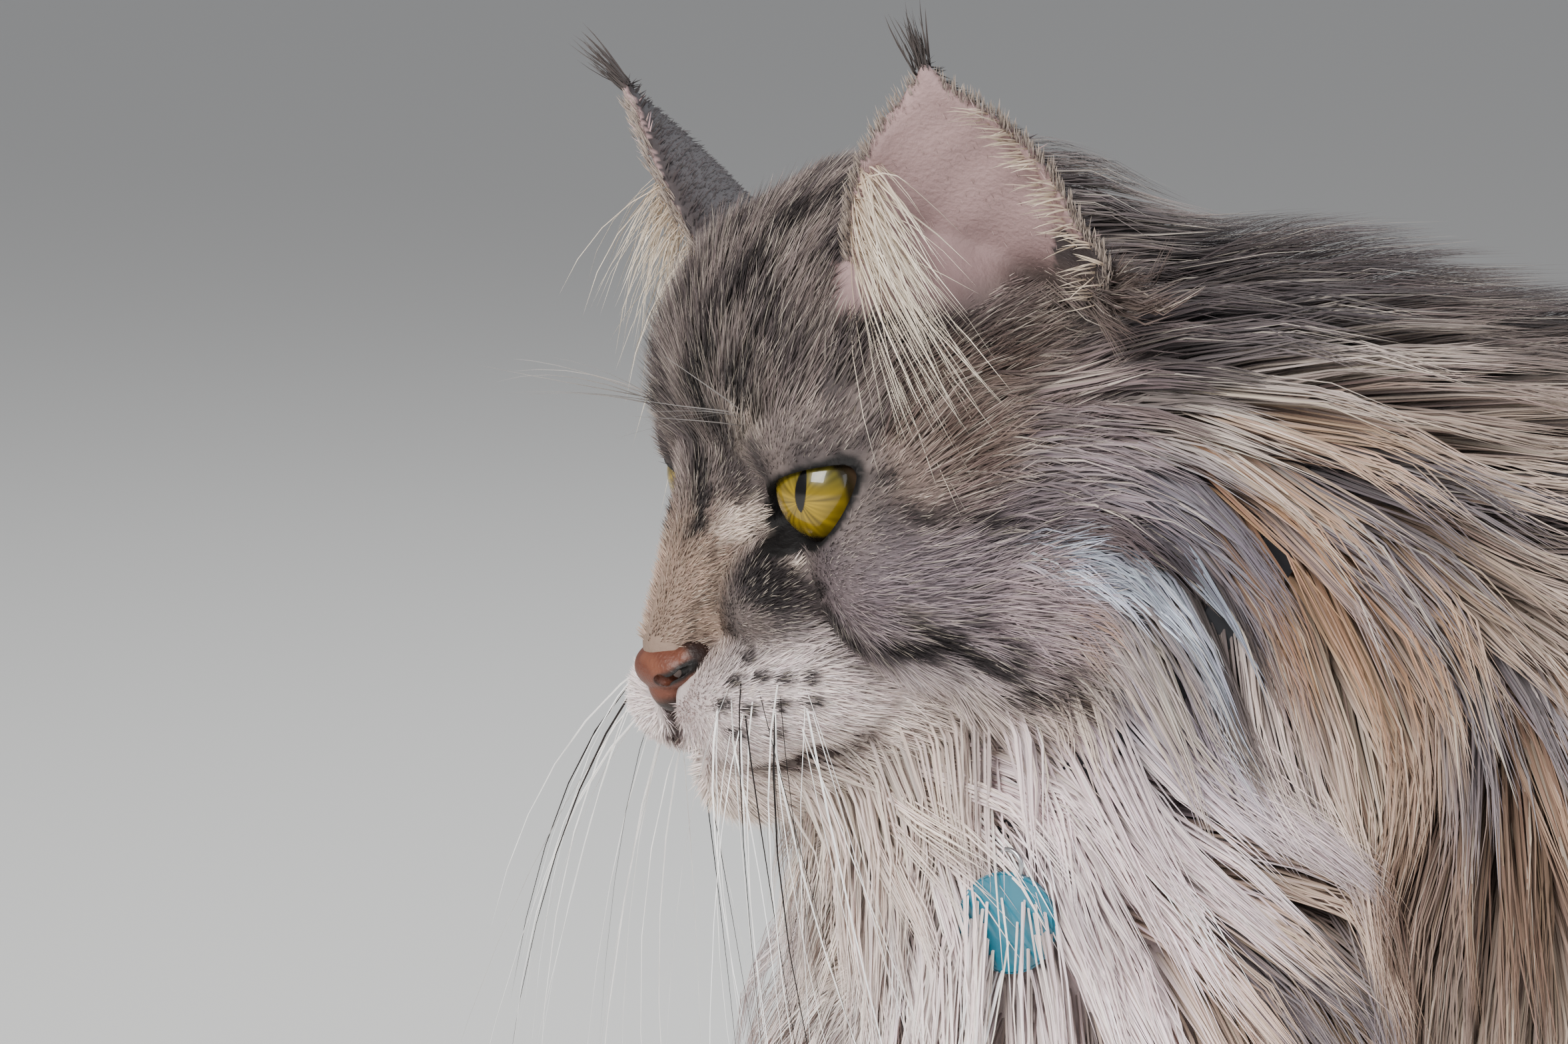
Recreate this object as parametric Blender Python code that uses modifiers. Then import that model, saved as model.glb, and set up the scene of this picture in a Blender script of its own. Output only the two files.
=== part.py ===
# A life-size long-haired cat, standing with its head lowered and turned a little, in named pieces.
# Metres, +Z up. The cat faces -Y and its left side is +X. The head is drawn in millimetres in a frame of
# its own, with the nose tip at zero and the head level, and is then turned and set on the neck.

import bmesh
import bpy
import random
from math import cos, pi, radians, sin
from mathutils import Euler, Matrix, Vector
from mathutils.bvhtree import BVHTree

# Driving sizes
MM = 0.001
GAP = 0.3 * MM                                # left between pieces that touch
FLAT_GAP = 0.42 * MM                          # left between two flat faces, more than the gap grown on one
SHARPEST = 2.5                                # how much further a sharp edge grows than a flat face
HEAD_CUT = (Vector((0, -0.124, 0.3125)), Vector((0, -0.933, 0.359)))    # where the head meets the neck
CHEST_CUT = (Vector((0, -0.060, 0.255)), Vector((0, -0.986, 0.164)))    # where the neck meets the torso
NOSE_TIP = Vector((0.014, -0.205, 0.287))     # where the tip of the nose stands
HEAD_SIZE = 1.027                             # life size over the drawn size of the head
HEAD_TURN = radians(8)                        # face turned towards the cat's left
HEAD_DROP = radians(21)                       # nose lowered
HEAD_LEAN = radians(-3)                       # crown leaned to the right
EYE_RADIUS = 11.3
EYE_CENTRE = Vector((22.5, 40, 20))
EYE_GAZE = Vector((0.30, -0.95, 0.0)).normalized()
LID_THICKNESS = 1.9
LID_TILT = radians(15)                        # outer corner higher than the inner
LID_HALF_LENGTH = 12.5
LID_HALF_HEIGHT = 7.6
EAR_THICKNESS = 2.2
EAR_FULLNESS = 3.2                            # higher keeps the ear broad nearer to its tip
WHISKER_RADIUS = 0.45
COLLAR_WIDTH = 9 * MM
COLLAR_THICKNESS = 2.2 * MM
TAG_RADIUS = 9.5 * MM
TAG_THICKNESS = 2 * MM
TAG_CLEARANCE = 3 * MM                        # how far the tag hangs out from the strap
RUFF_OFFSET = 5 * MM                          # how far behind the head the ruff begins
TOE_RADIUS = 0.0085
ROOT_DEPTH = 6 * MM                           # how far a lock's root is sunk
STIFFNESS = 1.5                               # how slowly a lock twists to face out from the coat below it
LOCK_RISE = 0.20                              # a lock's thickness over its width
SHARP_ANGLE = radians(50)                     # edges sharper than this are shaded as edges

# Colours, as linear red, green and blue
SMOKE = (0.16, 0.14, 0.13)
CREAM = (0.52, 0.44, 0.37)
SILVER = (0.30, 0.27, 0.25)
NOSE_BRICK = (0.30, 0.10, 0.07)
EYE_AMBER = (0.55, 0.36, 0.02)
STRAP_DARK = (0.015, 0.016, 0.02)
TAG_TEAL = (0.02, 0.27, 0.36)


def clearScene():
    for old in list(bpy.data.objects):
        bpy.data.objects.remove(old)


def newCollection(name):
    made = bpy.data.collections.new(name)
    bpy.context.scene.collection.children.link(made)
    return made


def finish(name, colour, roughness, metallic=0.0):
    material = bpy.data.materials.new(name)
    material.use_nodes = True
    shader = material.node_tree.nodes["Principled BSDF"]
    shader.inputs["Base Color"].default_value = (*colour, 1)
    shader.inputs["Roughness"].default_value = roughness
    shader.inputs["Metallic"].default_value = metallic
    return material


clearScene()
catParts = newCollection("cat")
headPlace = (Matrix.Translation(NOSE_TIP)
             @ Euler((HEAD_DROP, HEAD_LEAN, HEAD_TURN), "XYZ").to_matrix().to_4x4()
             @ Matrix.Scale(MM * HEAD_SIZE, 4))


# Moulding: overlapping balls and limbs, run together and rounded

def ball(shape, centre, radii, turn=(0, 0, 0), place=Matrix(), rounds=3):
    matrix = (place @ Matrix.Translation(centre) @ Euler([radians(a) for a in turn]).to_matrix().to_4x4()
              @ Matrix.Diagonal((*radii, 1)))
    bmesh.ops.create_icosphere(shape, subdivisions=rounds, radius=1, matrix=matrix)


def limb(shape, start, end, startRadius, endRadius, place=Matrix(), rounds=3):
    start, end = Vector(start), Vector(end)
    along = end - start
    turn = along.to_track_quat("Z", "Y").to_matrix().to_4x4()
    middle = place @ Matrix.Translation((start + end) / 2) @ turn
    bmesh.ops.create_cone(shape, cap_ends=True, segments=24, radius1=startRadius, radius2=endRadius,
                          depth=along.length, matrix=middle)
    ball(shape, start, (startRadius,) * 3, place=place, rounds=rounds)
    ball(shape, end, (endRadius,) * 3, place=place, rounds=rounds)


def addObject(name, mesh, material=None, collection=None):
    made = bpy.data.objects.new(name, mesh)
    (collection or catParts).objects.link(made)
    if material:
        mesh.materials.append(material)
    return made


def outward(shape):
    """Turns every face of a closed shape outwards."""
    shape.normal_update()
    bmesh.ops.recalc_face_normals(shape, faces=shape.faces)
    if shape.calc_volume(signed=True) < 0:
        bmesh.ops.reverse_faces(shape, faces=shape.faces)


def inOrder(mesh):
    """Lists the faces of a mesh in a fixed order, each from its first corner, so that every run is alike."""
    faces = []
    for face in mesh.polygons:
        ring = list(face.vertices)
        first = ring.index(min(ring))
        faces.append(ring[first:] + ring[:first])
    points = [vertex.co.copy() for vertex in mesh.vertices]
    mesh.clear_geometry()
    mesh.from_pydata(points, [], sorted(faces))
    return mesh


def toMesh(name, shape):
    mesh = bpy.data.meshes.new(name)
    shape.to_mesh(mesh)
    shape.free()
    return inOrder(mesh)


def settle(thing):
    """Applies the modifiers of an object, as the viewport shows them."""
    bpy.context.view_layer.update()
    graph = bpy.context.evaluated_depsgraph_get()
    mesh = inOrder(bpy.data.meshes.new_from_object(thing.evaluated_get(graph)))
    thing.modifiers.clear()
    old = thing.data
    thing.data = mesh
    bpy.data.meshes.remove(old)
    return thing


def mould(name, shape, material, voxel, rounding, faces):
    """Runs the forms in shape together, rounds the joins and thins the mesh to about that many faces."""
    thing = addObject(name, toMesh(name, shape), material)
    remesh = thing.modifiers.new("run together", "REMESH")
    remesh.mode = "VOXEL"
    remesh.voxel_size = voxel
    smooth = thing.modifiers.new("round", "SMOOTH")
    smooth.factor = 0.5
    smooth.iterations = rounding
    settle(thing)
    thin = thing.modifiers.new("thin", "DECIMATE")
    thin.ratio = min(1.0, faces / (2 * len(thing.data.polygons)))
    return settle(thing)


# Joining and cutting

def closedTriangles(thing):
    """The shape of thing in triangles. Small slivers are melted first where they would leave it open."""
    for melt in (0.01 * MM, 0.03 * MM, 0.002 * MM, 0):
        for method in ("BEAUTY", "EAR_CLIP"):
            shape = bmesh.new()
            shape.from_mesh(thing.data)
            if melt:
                bmesh.ops.triangulate(shape, faces=shape.faces, ngon_method=method)
                bmesh.ops.dissolve_degenerate(shape, dist=melt, edges=shape.edges)
            inLine = [vertex for vertex in shape.verts if len(vertex.link_edges) == 2]
            bmesh.ops.dissolve_verts(shape, verts=inLine)
            bmesh.ops.triangulate(shape, faces=shape.faces, ngon_method=method)
            if all(edge.is_manifold for edge in shape.edges):
                return shape
            shape.free()
    raise ValueError(thing.name + " isn't closed")


def keepLargest(thing):
    """Drops every loose scrap, so that the piece is one closed body."""
    shape = closedTriangles(thing)
    seen, islands = set(), []
    for seed in shape.faces:
        if seed in seen:
            continue
        seen.add(seed)
        island = [seed]
        for face in island:
            for edge in face.edges:
                for beside in edge.link_faces:
                    if beside not in seen:
                        seen.add(beside)
                        island.append(beside)
        islands.append(island)
    biggest = max(islands, key=lambda island: sum(face.calc_area() for face in island))
    loose = [face for island in islands if island is not biggest for face in island]
    bmesh.ops.delete(shape, geom=loose, context="FACES")
    shape.to_mesh(thing.data)
    shape.free()
    inOrder(thing.data)
    return thing


def boolean(thing, operation, meshes):
    """Joins closed meshes to thing, or cuts them from it, in one go."""
    others = newCollection("others")
    for mesh in meshes:
        addObject("other", mesh, collection=others)
    cut = thing.modifiers.new(operation.lower(), "BOOLEAN")
    cut.operation = operation
    cut.operand_type = "COLLECTION"
    cut.collection = others
    cut.solver = "MANIFOLD"
    settle(thing)
    for other in list(others.objects):
        bpy.data.objects.remove(other)
    bpy.data.collections.remove(others)
    return keepLargest(thing)


def fuse(thing, blades):
    """Joins locks or whiskers to thing, which remembers them."""
    blades = [blade for blade in blades if blade]
    forms[thing.name] += [hull for blade in blades for hull in stretches(blade)]
    return boolean(thing, "UNION", blades)


# The simple forms that each node is made of, by its name. Its neighbours are cut clear of these.
forms = {}


def remember(thing):
    forms[thing.name] = [thing.data.copy()]
    return thing


def stretches(blade):
    """The convex hull of each stretch of a blade: its vertices come in rings of three, then the tip."""
    points = [vertex.co.copy() for vertex in blade.vertices]
    hulls = []
    for first in range(0, len(points) - 1, 3):
        shape = bmesh.new()
        for point in points[first:first + 6]:
            shape.verts.new(point)
        bmesh.ops.convex_hull(shape, input=shape.verts)
        outward(shape)
        hulls.append(toMesh("stretch", shape))
    return hulls


def grown(mesh, by=GAP):
    """A copy of a simple form, grown by the gap that touching pieces keep."""
    shape = bmesh.new()
    shape.from_mesh(mesh)
    shape.normal_update()
    moves = [vertex.normal * by * min(vertex.calc_shell_factor(), SHARPEST) for vertex in shape.verts]
    for vertex, move in zip(shape.verts, moves):
        vertex.co += move
    return toMesh("grown", shape)


def reachOf(mesh):
    return [(min(v.co[i] for v in mesh.vertices), max(v.co[i] for v in mesh.vertices)) for i in range(3)]


def cutClear(thing, others):
    """Cuts thing clear of the forms of the others, with the gap between."""
    room = reachOf(thing.data)
    near = []
    for other in others:
        for form in forms[other.name]:
            span = reachOf(form)
            if all(span[i][0] - MM < room[i][1] and span[i][1] + MM > room[i][0] for i in range(3)):
                near.append(grown(form))
    return cutWith(thing, near) if near else thing


def cutFlat(thing, plane, side):
    """Keeps what lies on one side of a plane, half the flat gap away from it."""
    point, normal = plane
    away = normal.normalized() * -side
    turn = away.to_track_quat("Z", "Y").to_matrix().to_4x4()
    block = bmesh.new()
    middle = Matrix.Translation(point + away * (1 - FLAT_GAP / 2))
    bmesh.ops.create_cube(block, size=2, matrix=middle @ turn)
    return cutWith(thing, [toMesh("block", block)])


def cutWith(thing, meshes):
    return boolean(thing, "DIFFERENCE", meshes)


def floorSlab():
    shape = bmesh.new()
    bmesh.ops.create_cube(shape, size=2, matrix=Matrix.Translation((0, 0, -1)))
    return toMesh("floor slab", shape)


# Locks: flat tapered blades that follow the coat

def treeOf(things):
    shape = bmesh.new()
    for thing in things:
        shape.from_mesh(thing.data)
    tree = BVHTree.FromBMesh(shape)
    shape.free()
    return tree


def surfaceAt(tree, centre, direction, reach=0.3):
    """Where a ray from outside towards centre first meets the coat, with the outward normal."""
    direction = direction.normalized()
    place, normal, _, _ = tree.ray_cast(centre + direction * reach, -direction)
    return place, normal


def bladeMesh(spine, normals, widths, thickness):
    """A closed blade with a flat underside and a ridge on top, along a spine that ends in a point."""
    shape = bmesh.new()
    rings = []
    for index, point in enumerate(spine[:-1]):
        along = (spine[index + 1] - point).normalized()
        normal = (normals[index] - along * normals[index].dot(along)).normalized()
        side = along.cross(normal)
        half, rise = widths[index] / 2, thickness * widths[index]
        rings.append([shape.verts.new(point - side * half), shape.verts.new(point + side * half),
                      shape.verts.new(point + normal * rise)])
    tip = shape.verts.new(spine[-1])
    for low, high in zip(rings, rings[1:]):
        for i in range(3):
            j = (i + 1) % 3
            shape.faces.new((low[i], low[j], high[j], high[i]))
    for i in range(3):
        shape.faces.new((rings[-1][i], rings[-1][(i + 1) % 3], tip))
    shape.faces.new(reversed(rings[0]))
    outward(shape)
    bmesh.ops.triangulate(shape, faces=shape.faces)
    return toMesh("blade", shape)


def crossesItself(mesh):
    faces = [set(face.vertices) for face in mesh.polygons]
    tree = BVHTree.FromPolygons([vertex.co[:] for vertex in mesh.vertices],
                                [face.vertices[:] for face in mesh.polygons])
    return any(not faces[a] & faces[b] for a, b in tree.overlap(tree))


def lock(coat, root, normal, lie, size, chance, lift=0.010, drop=0.35, steps=4, least=0.006):
    """One lock of size (length, width). It leaves its root along the lie, sags, and stays over the coat."""
    length, width = size
    length *= chance.uniform(0.85, 1.12)
    width *= chance.uniform(0.85, 1.15)
    lift *= chance.uniform(0.85, 1.2)
    step = length / steps
    spine, normals = [root - normal * ROOT_DEPTH], [normal]
    point, heading = root.copy(), (lie.normalized() + normal * 0.35).normalized()
    for index in range(1, steps + 1):
        share = index / steps
        heading = (heading + Vector((0, 0, -drop))).normalized()
        ahead = point + heading * step
        near, up, _, _ = coat.find_nearest(ahead)
        height = lift * (1 - (1 - share) ** 2)
        if (ahead - near).dot(up) < height:
            ahead = near + up * height
        ahead.z = max(ahead.z, least)
        heading = (ahead - point).normalized()
        point = ahead
        spine.append(point)
        normals.append((normals[-1] * STIFFNESS + up).normalized())
    shares = [0.80, 1.0, 0.86, 0.52] if steps > 3 else [0.80, 1.0, 0.66]
    widths = [width * share for share in shares]
    blade = bladeMesh(spine, normals, widths, LOCK_RISE)
    return None if crossesItself(blade) else blade


def rootOn(own, coat, centre, direction):
    """A root on the node's own core, or nothing where another node covers it."""
    place, normal = surfaceAt(own, centre, direction)
    cover, _ = surfaceAt(coat, centre, direction)
    if place is None or (cover - place).length > ROOT_DEPTH / 2:
        return None, None
    return place, normal


def ringOfLocks(own, coat, centre, axis, degrees, size, chance, heading, **more):
    """Locks rooted round an axis, at angles from straight up, each along heading(place, normal)."""
    axis = axis.normalized()
    up = (Vector((0, 0, 1)) - axis * axis.z).normalized()
    side = axis.cross(up)
    made = []
    for angle in degrees:
        turned = radians(angle + chance.uniform(-3, 3))
        place, normal = rootOn(own, coat, centre, up * cos(turned) + side * sin(turned))
        if place is not None and not nearCollar(place):
            made.append(lock(coat, place, normal, heading(place, normal), size, chance, **more))
    return made


# Materials
smokeFur = finish("smoke tabby fur", SMOKE, 0.8)
creamFur = finish("cream fur", CREAM, 0.8)
silverFur = finish("silver fur", SILVER, 0.8)
noseSkin = finish("nose leather", NOSE_BRICK, 0.5)
eyeGlass = finish("amber eye", EYE_AMBER, 0.1)
collarWeb = finish("dark strap", STRAP_DARK, 0.6)
tagEnamel = finish("teal enamel", TAG_TEAL, 0.3)


# Head, in millimetres in its own frame

def bothSides(point):
    x, y, z = point
    return ((x, y, z), (-x, y, z))


def headCore():
    shape = bmesh.new()
    ball(shape, (0, 70, 32), (40, 42, 38), place=headPlace)               # cranium
    ball(shape, (0, 60, 36), (33, 37, 34), place=headPlace)               # forehead
    ball(shape, (0, 84, 30), (34, 34, 32), place=headPlace)               # back of the skull
    limb(shape, (0, 9.5, 0.5), (0, 33, 23), 8.2, 13.5, place=headPlace)   # bridge of the nose
    for centre in bothSides((20, 40, 29)):
        ball(shape, centre, (12, 13, 11), place=headPlace)                # brow
    for centre in bothSides((29, 55, 4)):
        ball(shape, centre, (20, 30, 30), place=headPlace)                # cheek
    for centre in bothSides((33, 70, -12)):
        ball(shape, centre, (21, 32, 38), place=headPlace)                # fur behind the cheek
    for centre in bothSides((13, 27, 2)):
        ball(shape, centre, (12, 14, 13), place=headPlace)                # side of the muzzle
    for centre in bothSides(EYE_CENTRE):
        ball(shape, centre, (EYE_RADIUS + LID_THICKNESS,) * 3, place=headPlace)
    return mould("head", shape, smokeFur, 1.6 * MM, 5, 800)


def eyeSpace(side):
    """The frame of one eye: x towards the outer corner, y up, z out along the gaze."""
    centre = Vector((side * EYE_CENTRE.x, EYE_CENTRE.y, EYE_CENTRE.z))
    out = Vector((side * EYE_GAZE.x, EYE_GAZE.y, EYE_GAZE.z))
    up = Vector((0, 0, 1))
    up = (up - out * up.dot(out)).normalized()
    across = up.cross(out) * side
    across, up = (across * cos(LID_TILT) + up * sin(LID_TILT), up * cos(LID_TILT) - across * sin(LID_TILT))
    frame = Matrix((across, up, out)).transposed().to_4x4()
    return headPlace @ Matrix.Translation(centre) @ frame


def lidWindow(side):
    """A prism with the almond outline of the open lids."""
    points = 22
    outline = []
    for index in range(points):
        angle = 2 * pi * index / points
        pinch = abs(sin(angle)) ** 1.25
        high = LID_HALF_HEIGHT * (0.78 if sin(angle) > 0 else 1.0)
        outline.append((LID_HALF_LENGTH * cos(angle), high * pinch * (1 if sin(angle) > 0 else -1)))
    shape = bmesh.new()
    ring = [shape.verts.new((x, y, 2.5)) for x, y in outline]
    face = shape.faces.new(ring)
    made = bmesh.ops.extrude_face_region(shape, geom=[face])
    grown = [v for v in made["geom"] if isinstance(v, bmesh.types.BMVert)]
    bmesh.ops.translate(shape, verts=grown, vec=(0, 0, 22))
    shape.transform(eyeSpace(side))
    outward(shape)
    return toMesh("lid window", shape)


def eyeball(name, side):
    shape = bmesh.new()
    bmesh.ops.create_uvsphere(shape, u_segments=14, v_segments=9, radius=EYE_RADIUS)
    shape.transform(eyeSpace(side))
    outward(shape)
    made = addObject(name, toMesh(name, shape), eyeGlass)
    made.data.shade_smooth()
    return made


def noseLeather():
    shape = bmesh.new()
    ball(shape, (0, 5.6, -2.2), (8.8, 5.6, 4.6), place=headPlace)
    ball(shape, (0, 4.8, -6.0), (4.4, 4.2, 5.2), place=headPlace)
    for centre in bothSides((6.6, 8.0, -1.6)):
        ball(shape, centre, (3.2, 4.2, 3.4), place=headPlace)
    nose = remember(mould("nose", shape, noseSkin, 0.5 * MM, 3, 230))
    holes = []
    for side in (1, -1):
        hole = bmesh.new()
        limb(hole, (side * 4.6, -1.5, -3.6), (side * 5.4, 4.6, -2.6), 1.3, 1.6, place=headPlace, rounds=1)
        limb(hole, (side * 5.8, 2.4, -3.0), (side * 11.5, 7.0, -1.8), 1.0, 0.6, place=headPlace, rounds=1)
        holes.append(mould("hole", hole, None, 0.35 * MM, 2, 60))
    meshes = [hole.data.copy() for hole in holes]
    for hole in holes:
        bpy.data.objects.remove(hole)
    return cutWith(nose, meshes)


def whiskerPad(name, side):
    """The puffed side of the upper lip. Its whiskers are fused on later."""
    shape = bmesh.new()
    ball(shape, (side * 12.4, 15.5, -12.5), (12.6, 15.0, 12.2), place=headPlace)
    ball(shape, (side * 18, 27, -14), (9.5, 15, 10.5), place=headPlace)
    ball(shape, (side * 6.5, 9.5, -13.0), (7.2, 8.6, 9.6), place=headPlace)
    pad = mould(name, shape, creamFur, 1.2 * MM, 3, 150)
    half = bmesh.new()
    bmesh.ops.create_cube(half, size=1, matrix=headPlace @ Matrix.Translation((-side * (100 - 0.2), 0, 0))
                          @ Matrix.Scale(200, 4))
    return cutWith(pad, [toMesh("half", half)])


def whiskers(side, chance):
    """Long bristles in three rows, which sweep out, forward and down."""
    made = []
    for row in range(3):
        for place in range(2):
            root = Vector((side * (16.5 + 4.0 * place), 13 + 8.0 * place, -8.5 - 5.0 * row))
            length = 66 - 6 * row + chance.uniform(-5, 8)
            out = Vector((side * (0.62 + 0.2 * place), -0.5 + 0.5 * place, -0.1 - 0.3 * row)).normalized()
            spine = []
            steps = 4
            for index in range(steps + 1):
                share = index / steps
                spine.append(root + out * (length * share - 3) + Vector((0, 6, -26)) * share * share)
            shape = bmesh.new()
            rings = []
            for index, point in enumerate(spine[:-1]):
                along = (spine[index + 1] - point).normalized()
                across = along.cross(Vector((0, 0, 1))).normalized()
                radius = WHISKER_RADIUS * (1 - 0.6 * index / steps)
                over = across.cross(along)
                rings.append([shape.verts.new(point + (across * cos(a) + over * sin(a)) * radius)
                              for a in (0, 2 * pi / 3, 4 * pi / 3)])
            tip = shape.verts.new(spine[-1])
            for low, high in zip(rings, rings[1:]):
                for i in range(3):
                    j = (i + 1) % 3
                    shape.faces.new((low[i], low[j], high[j], high[i]))
            for i in range(3):
                shape.faces.new((rings[-1][i], rings[-1][(i + 1) % 3], tip))
            shape.faces.new(reversed(rings[0]))
            shape.transform(headPlace)
            outward(shape)
            made.append(toMesh("whisker", shape))
    return made


def lowerJaw():
    shape = bmesh.new()
    ball(shape, (0, 15.5, -27), (11, 12, 10.8), place=headPlace)
    for side in (1, -1):
        limb(shape, (side * 6, 22, -26), (side * 26, 62, -18), 9.5, 14, place=headPlace)
    ball(shape, (0, 48, -22), (20, 26, 13), place=headPlace)
    return mould("jaw", shape, creamFur, 1.6 * MM, 3, 150)


# The cup of one ear: base centre, tip, the way it opens, half width and depth
EARS = {
    "ear_left": {"base": (33.5, 73.5, 39), "tip": (51, 71, 90), "opens": (0.74, -0.66, -0.10),
                 "half": 21.5, "depth": 14, "side": 1},
    "ear_right": {"base": (-35, 65, 38), "tip": (-54, 60, 91), "opens": (-0.60, -0.79, -0.05),
                  "half": 22.5, "depth": 14, "side": -1},
}


def earSpace(ear):
    base, tip = Vector(ear["base"]), Vector(ear["tip"])
    axis = (tip - base).normalized()
    opens = Vector(ear["opens"])
    opens = (opens - axis * opens.dot(axis)).normalized()
    return base, tip, axis, opens, axis.cross(opens) * ear["side"]


def earCup(name):
    """A leaf that curls into a cup, thickened to a shell with its foot sunk in the head."""
    ear = EARS[name]
    base, tip, axis, opens, across = earSpace(ear)
    height = (tip - base).length
    rows, columns = 7, 7
    shape = bmesh.new()
    grid = []
    for row in range(rows):
        share = row / rows
        half = ear["half"] * (1 - share ** EAR_FULLNESS) + 0.5
        depth = ear["depth"] * (1 - share) ** 0.9
        line = []
        for column in range(columns):
            t = 2 * column / (columns - 1) - 1
            place = (base + axis * (height * share - 4) + across * (half * sin(t * 1.35) / sin(1.35))
                     - opens * depth * (cos(t * 1.35) - cos(1.35)) * 1.1)
            line.append(shape.verts.new(place))
        grid.append(line)
    end = shape.verts.new(tip)
    for low, high in zip(grid, grid[1:]):
        for i in range(columns - 1):
            shape.faces.new((low[i], low[i + 1], high[i + 1], high[i]))
    for i in range(columns - 1):
        shape.faces.new((grid[-1][i], grid[-1][i + 1], end))
    cup = addObject(name, toMesh(name, shape), smokeFur)
    shell = cup.modifiers.new("thickness", "SOLIDIFY")
    shell.thickness = EAR_THICKNESS
    shell.offset = 0
    settle(cup)
    cup.data.transform(headPlace)
    return cup


def earLocks(name, chance):
    """The tuft on the tip, and the long hair that grows from the inner edge across the cup."""
    ear = EARS[name]
    base, tip, axis, opens, across = earSpace(ear)
    height = (tip - base).length
    made = []
    spine = [tip - axis * 9, tip - axis * 2, tip + axis * 8 - opens * 1, tip + axis * 17 - opens * 3]
    blade = bladeMesh(spine, [opens] * 4, [4.5, 4.2, 2.6], 0.5)
    blade.transform(headPlace)
    made.append(blade)
    for index in range(4):
        share = 0.18 + 0.16 * index
        half = ear["half"] * (1 - share ** EAR_FULLNESS) * 0.93
        root = base + axis * (height * share - 4) - across * half
        reach = 30 - 3.2 * index + chance.uniform(-2, 3)
        out = (opens * 0.75 + across * 0.42 - axis * 0.45).normalized()
        spine = [root - out * 1.2, root + out * reach * 0.35, root + out * reach * 0.7 - axis * 5,
                 root + out * reach - axis * 14]
        blade = bladeMesh(spine, [opens + across * 0.2] * 4, [4.6, 5.0, 3.4], 0.35)
        blade.transform(headPlace)
        made.append(blade)
    return made


# Body, in metres

def neckCore():
    """The neck behind the head, with the throat and bib that reach forward under the jaw."""
    shape = bmesh.new()
    limb(shape, (0.004, -0.116, 0.317), (0, -0.030, 0.278), 0.047, 0.066)
    neck = cutFlat(mould("neck", shape, silverFur, 0.004, 6, 150), HEAD_CUT, -1)
    shape = bmesh.new()
    ball(shape, (0.004, -0.122, 0.258), (0.045, 0.046, 0.044))             # throat
    ball(shape, (0.003, -0.105, 0.218), (0.058, 0.060, 0.063))             # bib
    front = mould("front", shape, None, 0.004, 6, 130)
    mesh = front.data.copy()
    bpy.data.objects.remove(front)
    return cutFlat(boolean(neck, "UNION", [mesh]), CHEST_CUT, 1)


def torsoCore():
    shape = bmesh.new()
    ball(shape, (0, 0.015, 0.240), (0.080, 0.108, 0.092))                  # chest
    ball(shape, (0, 0.005, 0.304), (0.044, 0.074, 0.034))                  # withers
    for side in (1, -1):
        ball(shape, (side * 0.056, -0.002, 0.242), (0.035, 0.060, 0.076))  # shoulder
    ball(shape, (0, 0.165, 0.246), (0.078, 0.165, 0.080))                  # barrel
    ball(shape, (0, 0.262, 0.262), (0.066, 0.100, 0.066))                  # loin
    ball(shape, (0, 0.318, 0.258), (0.070, 0.084, 0.072))                  # rump
    return mould("torso", shape, silverFur, 0.004, 6, 360)


def foreleg(name, side):
    shape = bmesh.new()
    limb(shape, (side * 0.054, -0.006, 0.200), (side * 0.054, 0.018, 0.150), 0.031, 0.027)
    limb(shape, (side * 0.056, 0.018, 0.150), (side * 0.049, -0.002, 0.058), 0.027, 0.0195)
    limb(shape, (side * 0.049, -0.002, 0.058), (side * 0.048, -0.010, 0.026), 0.0195, 0.0185)
    return mould(name, shape, silverFur, 0.003, 4, 150)


def hindleg(name, side):
    shape = bmesh.new()
    ball(shape, (side * 0.054, 0.302, 0.214), (0.041, 0.070, 0.076), turn=(-14, 0, 0))
    limb(shape, (side * 0.058, 0.275, 0.165), (side * 0.056, 0.366, 0.100), 0.037, 0.0215)
    limb(shape, (side * 0.056, 0.372, 0.096), (side * 0.054, 0.352, 0.028), 0.0200, 0.0180)
    return mould(name, shape, silverFur, 0.003, 4, 190)


def paw(name, side, back):
    """A broad furry foot with four toes, on a flat sole."""
    shape = bmesh.new()
    place = Matrix.Translation((side * 0.050, back, 0)) @ Matrix.Rotation(radians(4 * side), 4, "Z")
    ball(shape, (0, 0.012, 0.0165), (0.0225, 0.029, 0.0190), place=place)
    for index, across in enumerate((-0.0155, -0.0055, 0.0055, 0.0155)):
        ahead = -0.018 - (0.006 if index in (1, 2) else 0.0)
        ball(shape, (across, ahead, 0.0105), (TOE_RADIUS, 0.0150, 0.0122), place=place)
    return mould(name, shape, creamFur, 0.0015, 2, 150)


# The middle of the tail, from the rump down and back, with its end lifted
TAIL_PATH = [(0.000, 0.374, 0.274), (0.000, 0.420, 0.256), (0.002, 0.456, 0.220), (0.005, 0.482, 0.176),
             (0.009, 0.507, 0.132), (0.014, 0.541, 0.096), (0.020, 0.586, 0.078), (0.026, 0.632, 0.084),
             (0.030, 0.668, 0.108)]
TAIL_RADII = [0.025, 0.025, 0.025, 0.026, 0.026, 0.026, 0.025, 0.022, 0.014]
TAIL_NODES = {"tail_root": (0, 3), "tail_middle": (3, 6), "tail_end": (6, 8)}


def tailCore(name):
    first, last = TAIL_NODES[name]
    shape = bmesh.new()
    for index in range(first, last):
        limb(shape, TAIL_PATH[index], TAIL_PATH[index + 1], TAIL_RADII[index], TAIL_RADII[index + 1])
    return mould(name, shape, smokeFur, 0.003, 3, 90)


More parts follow.
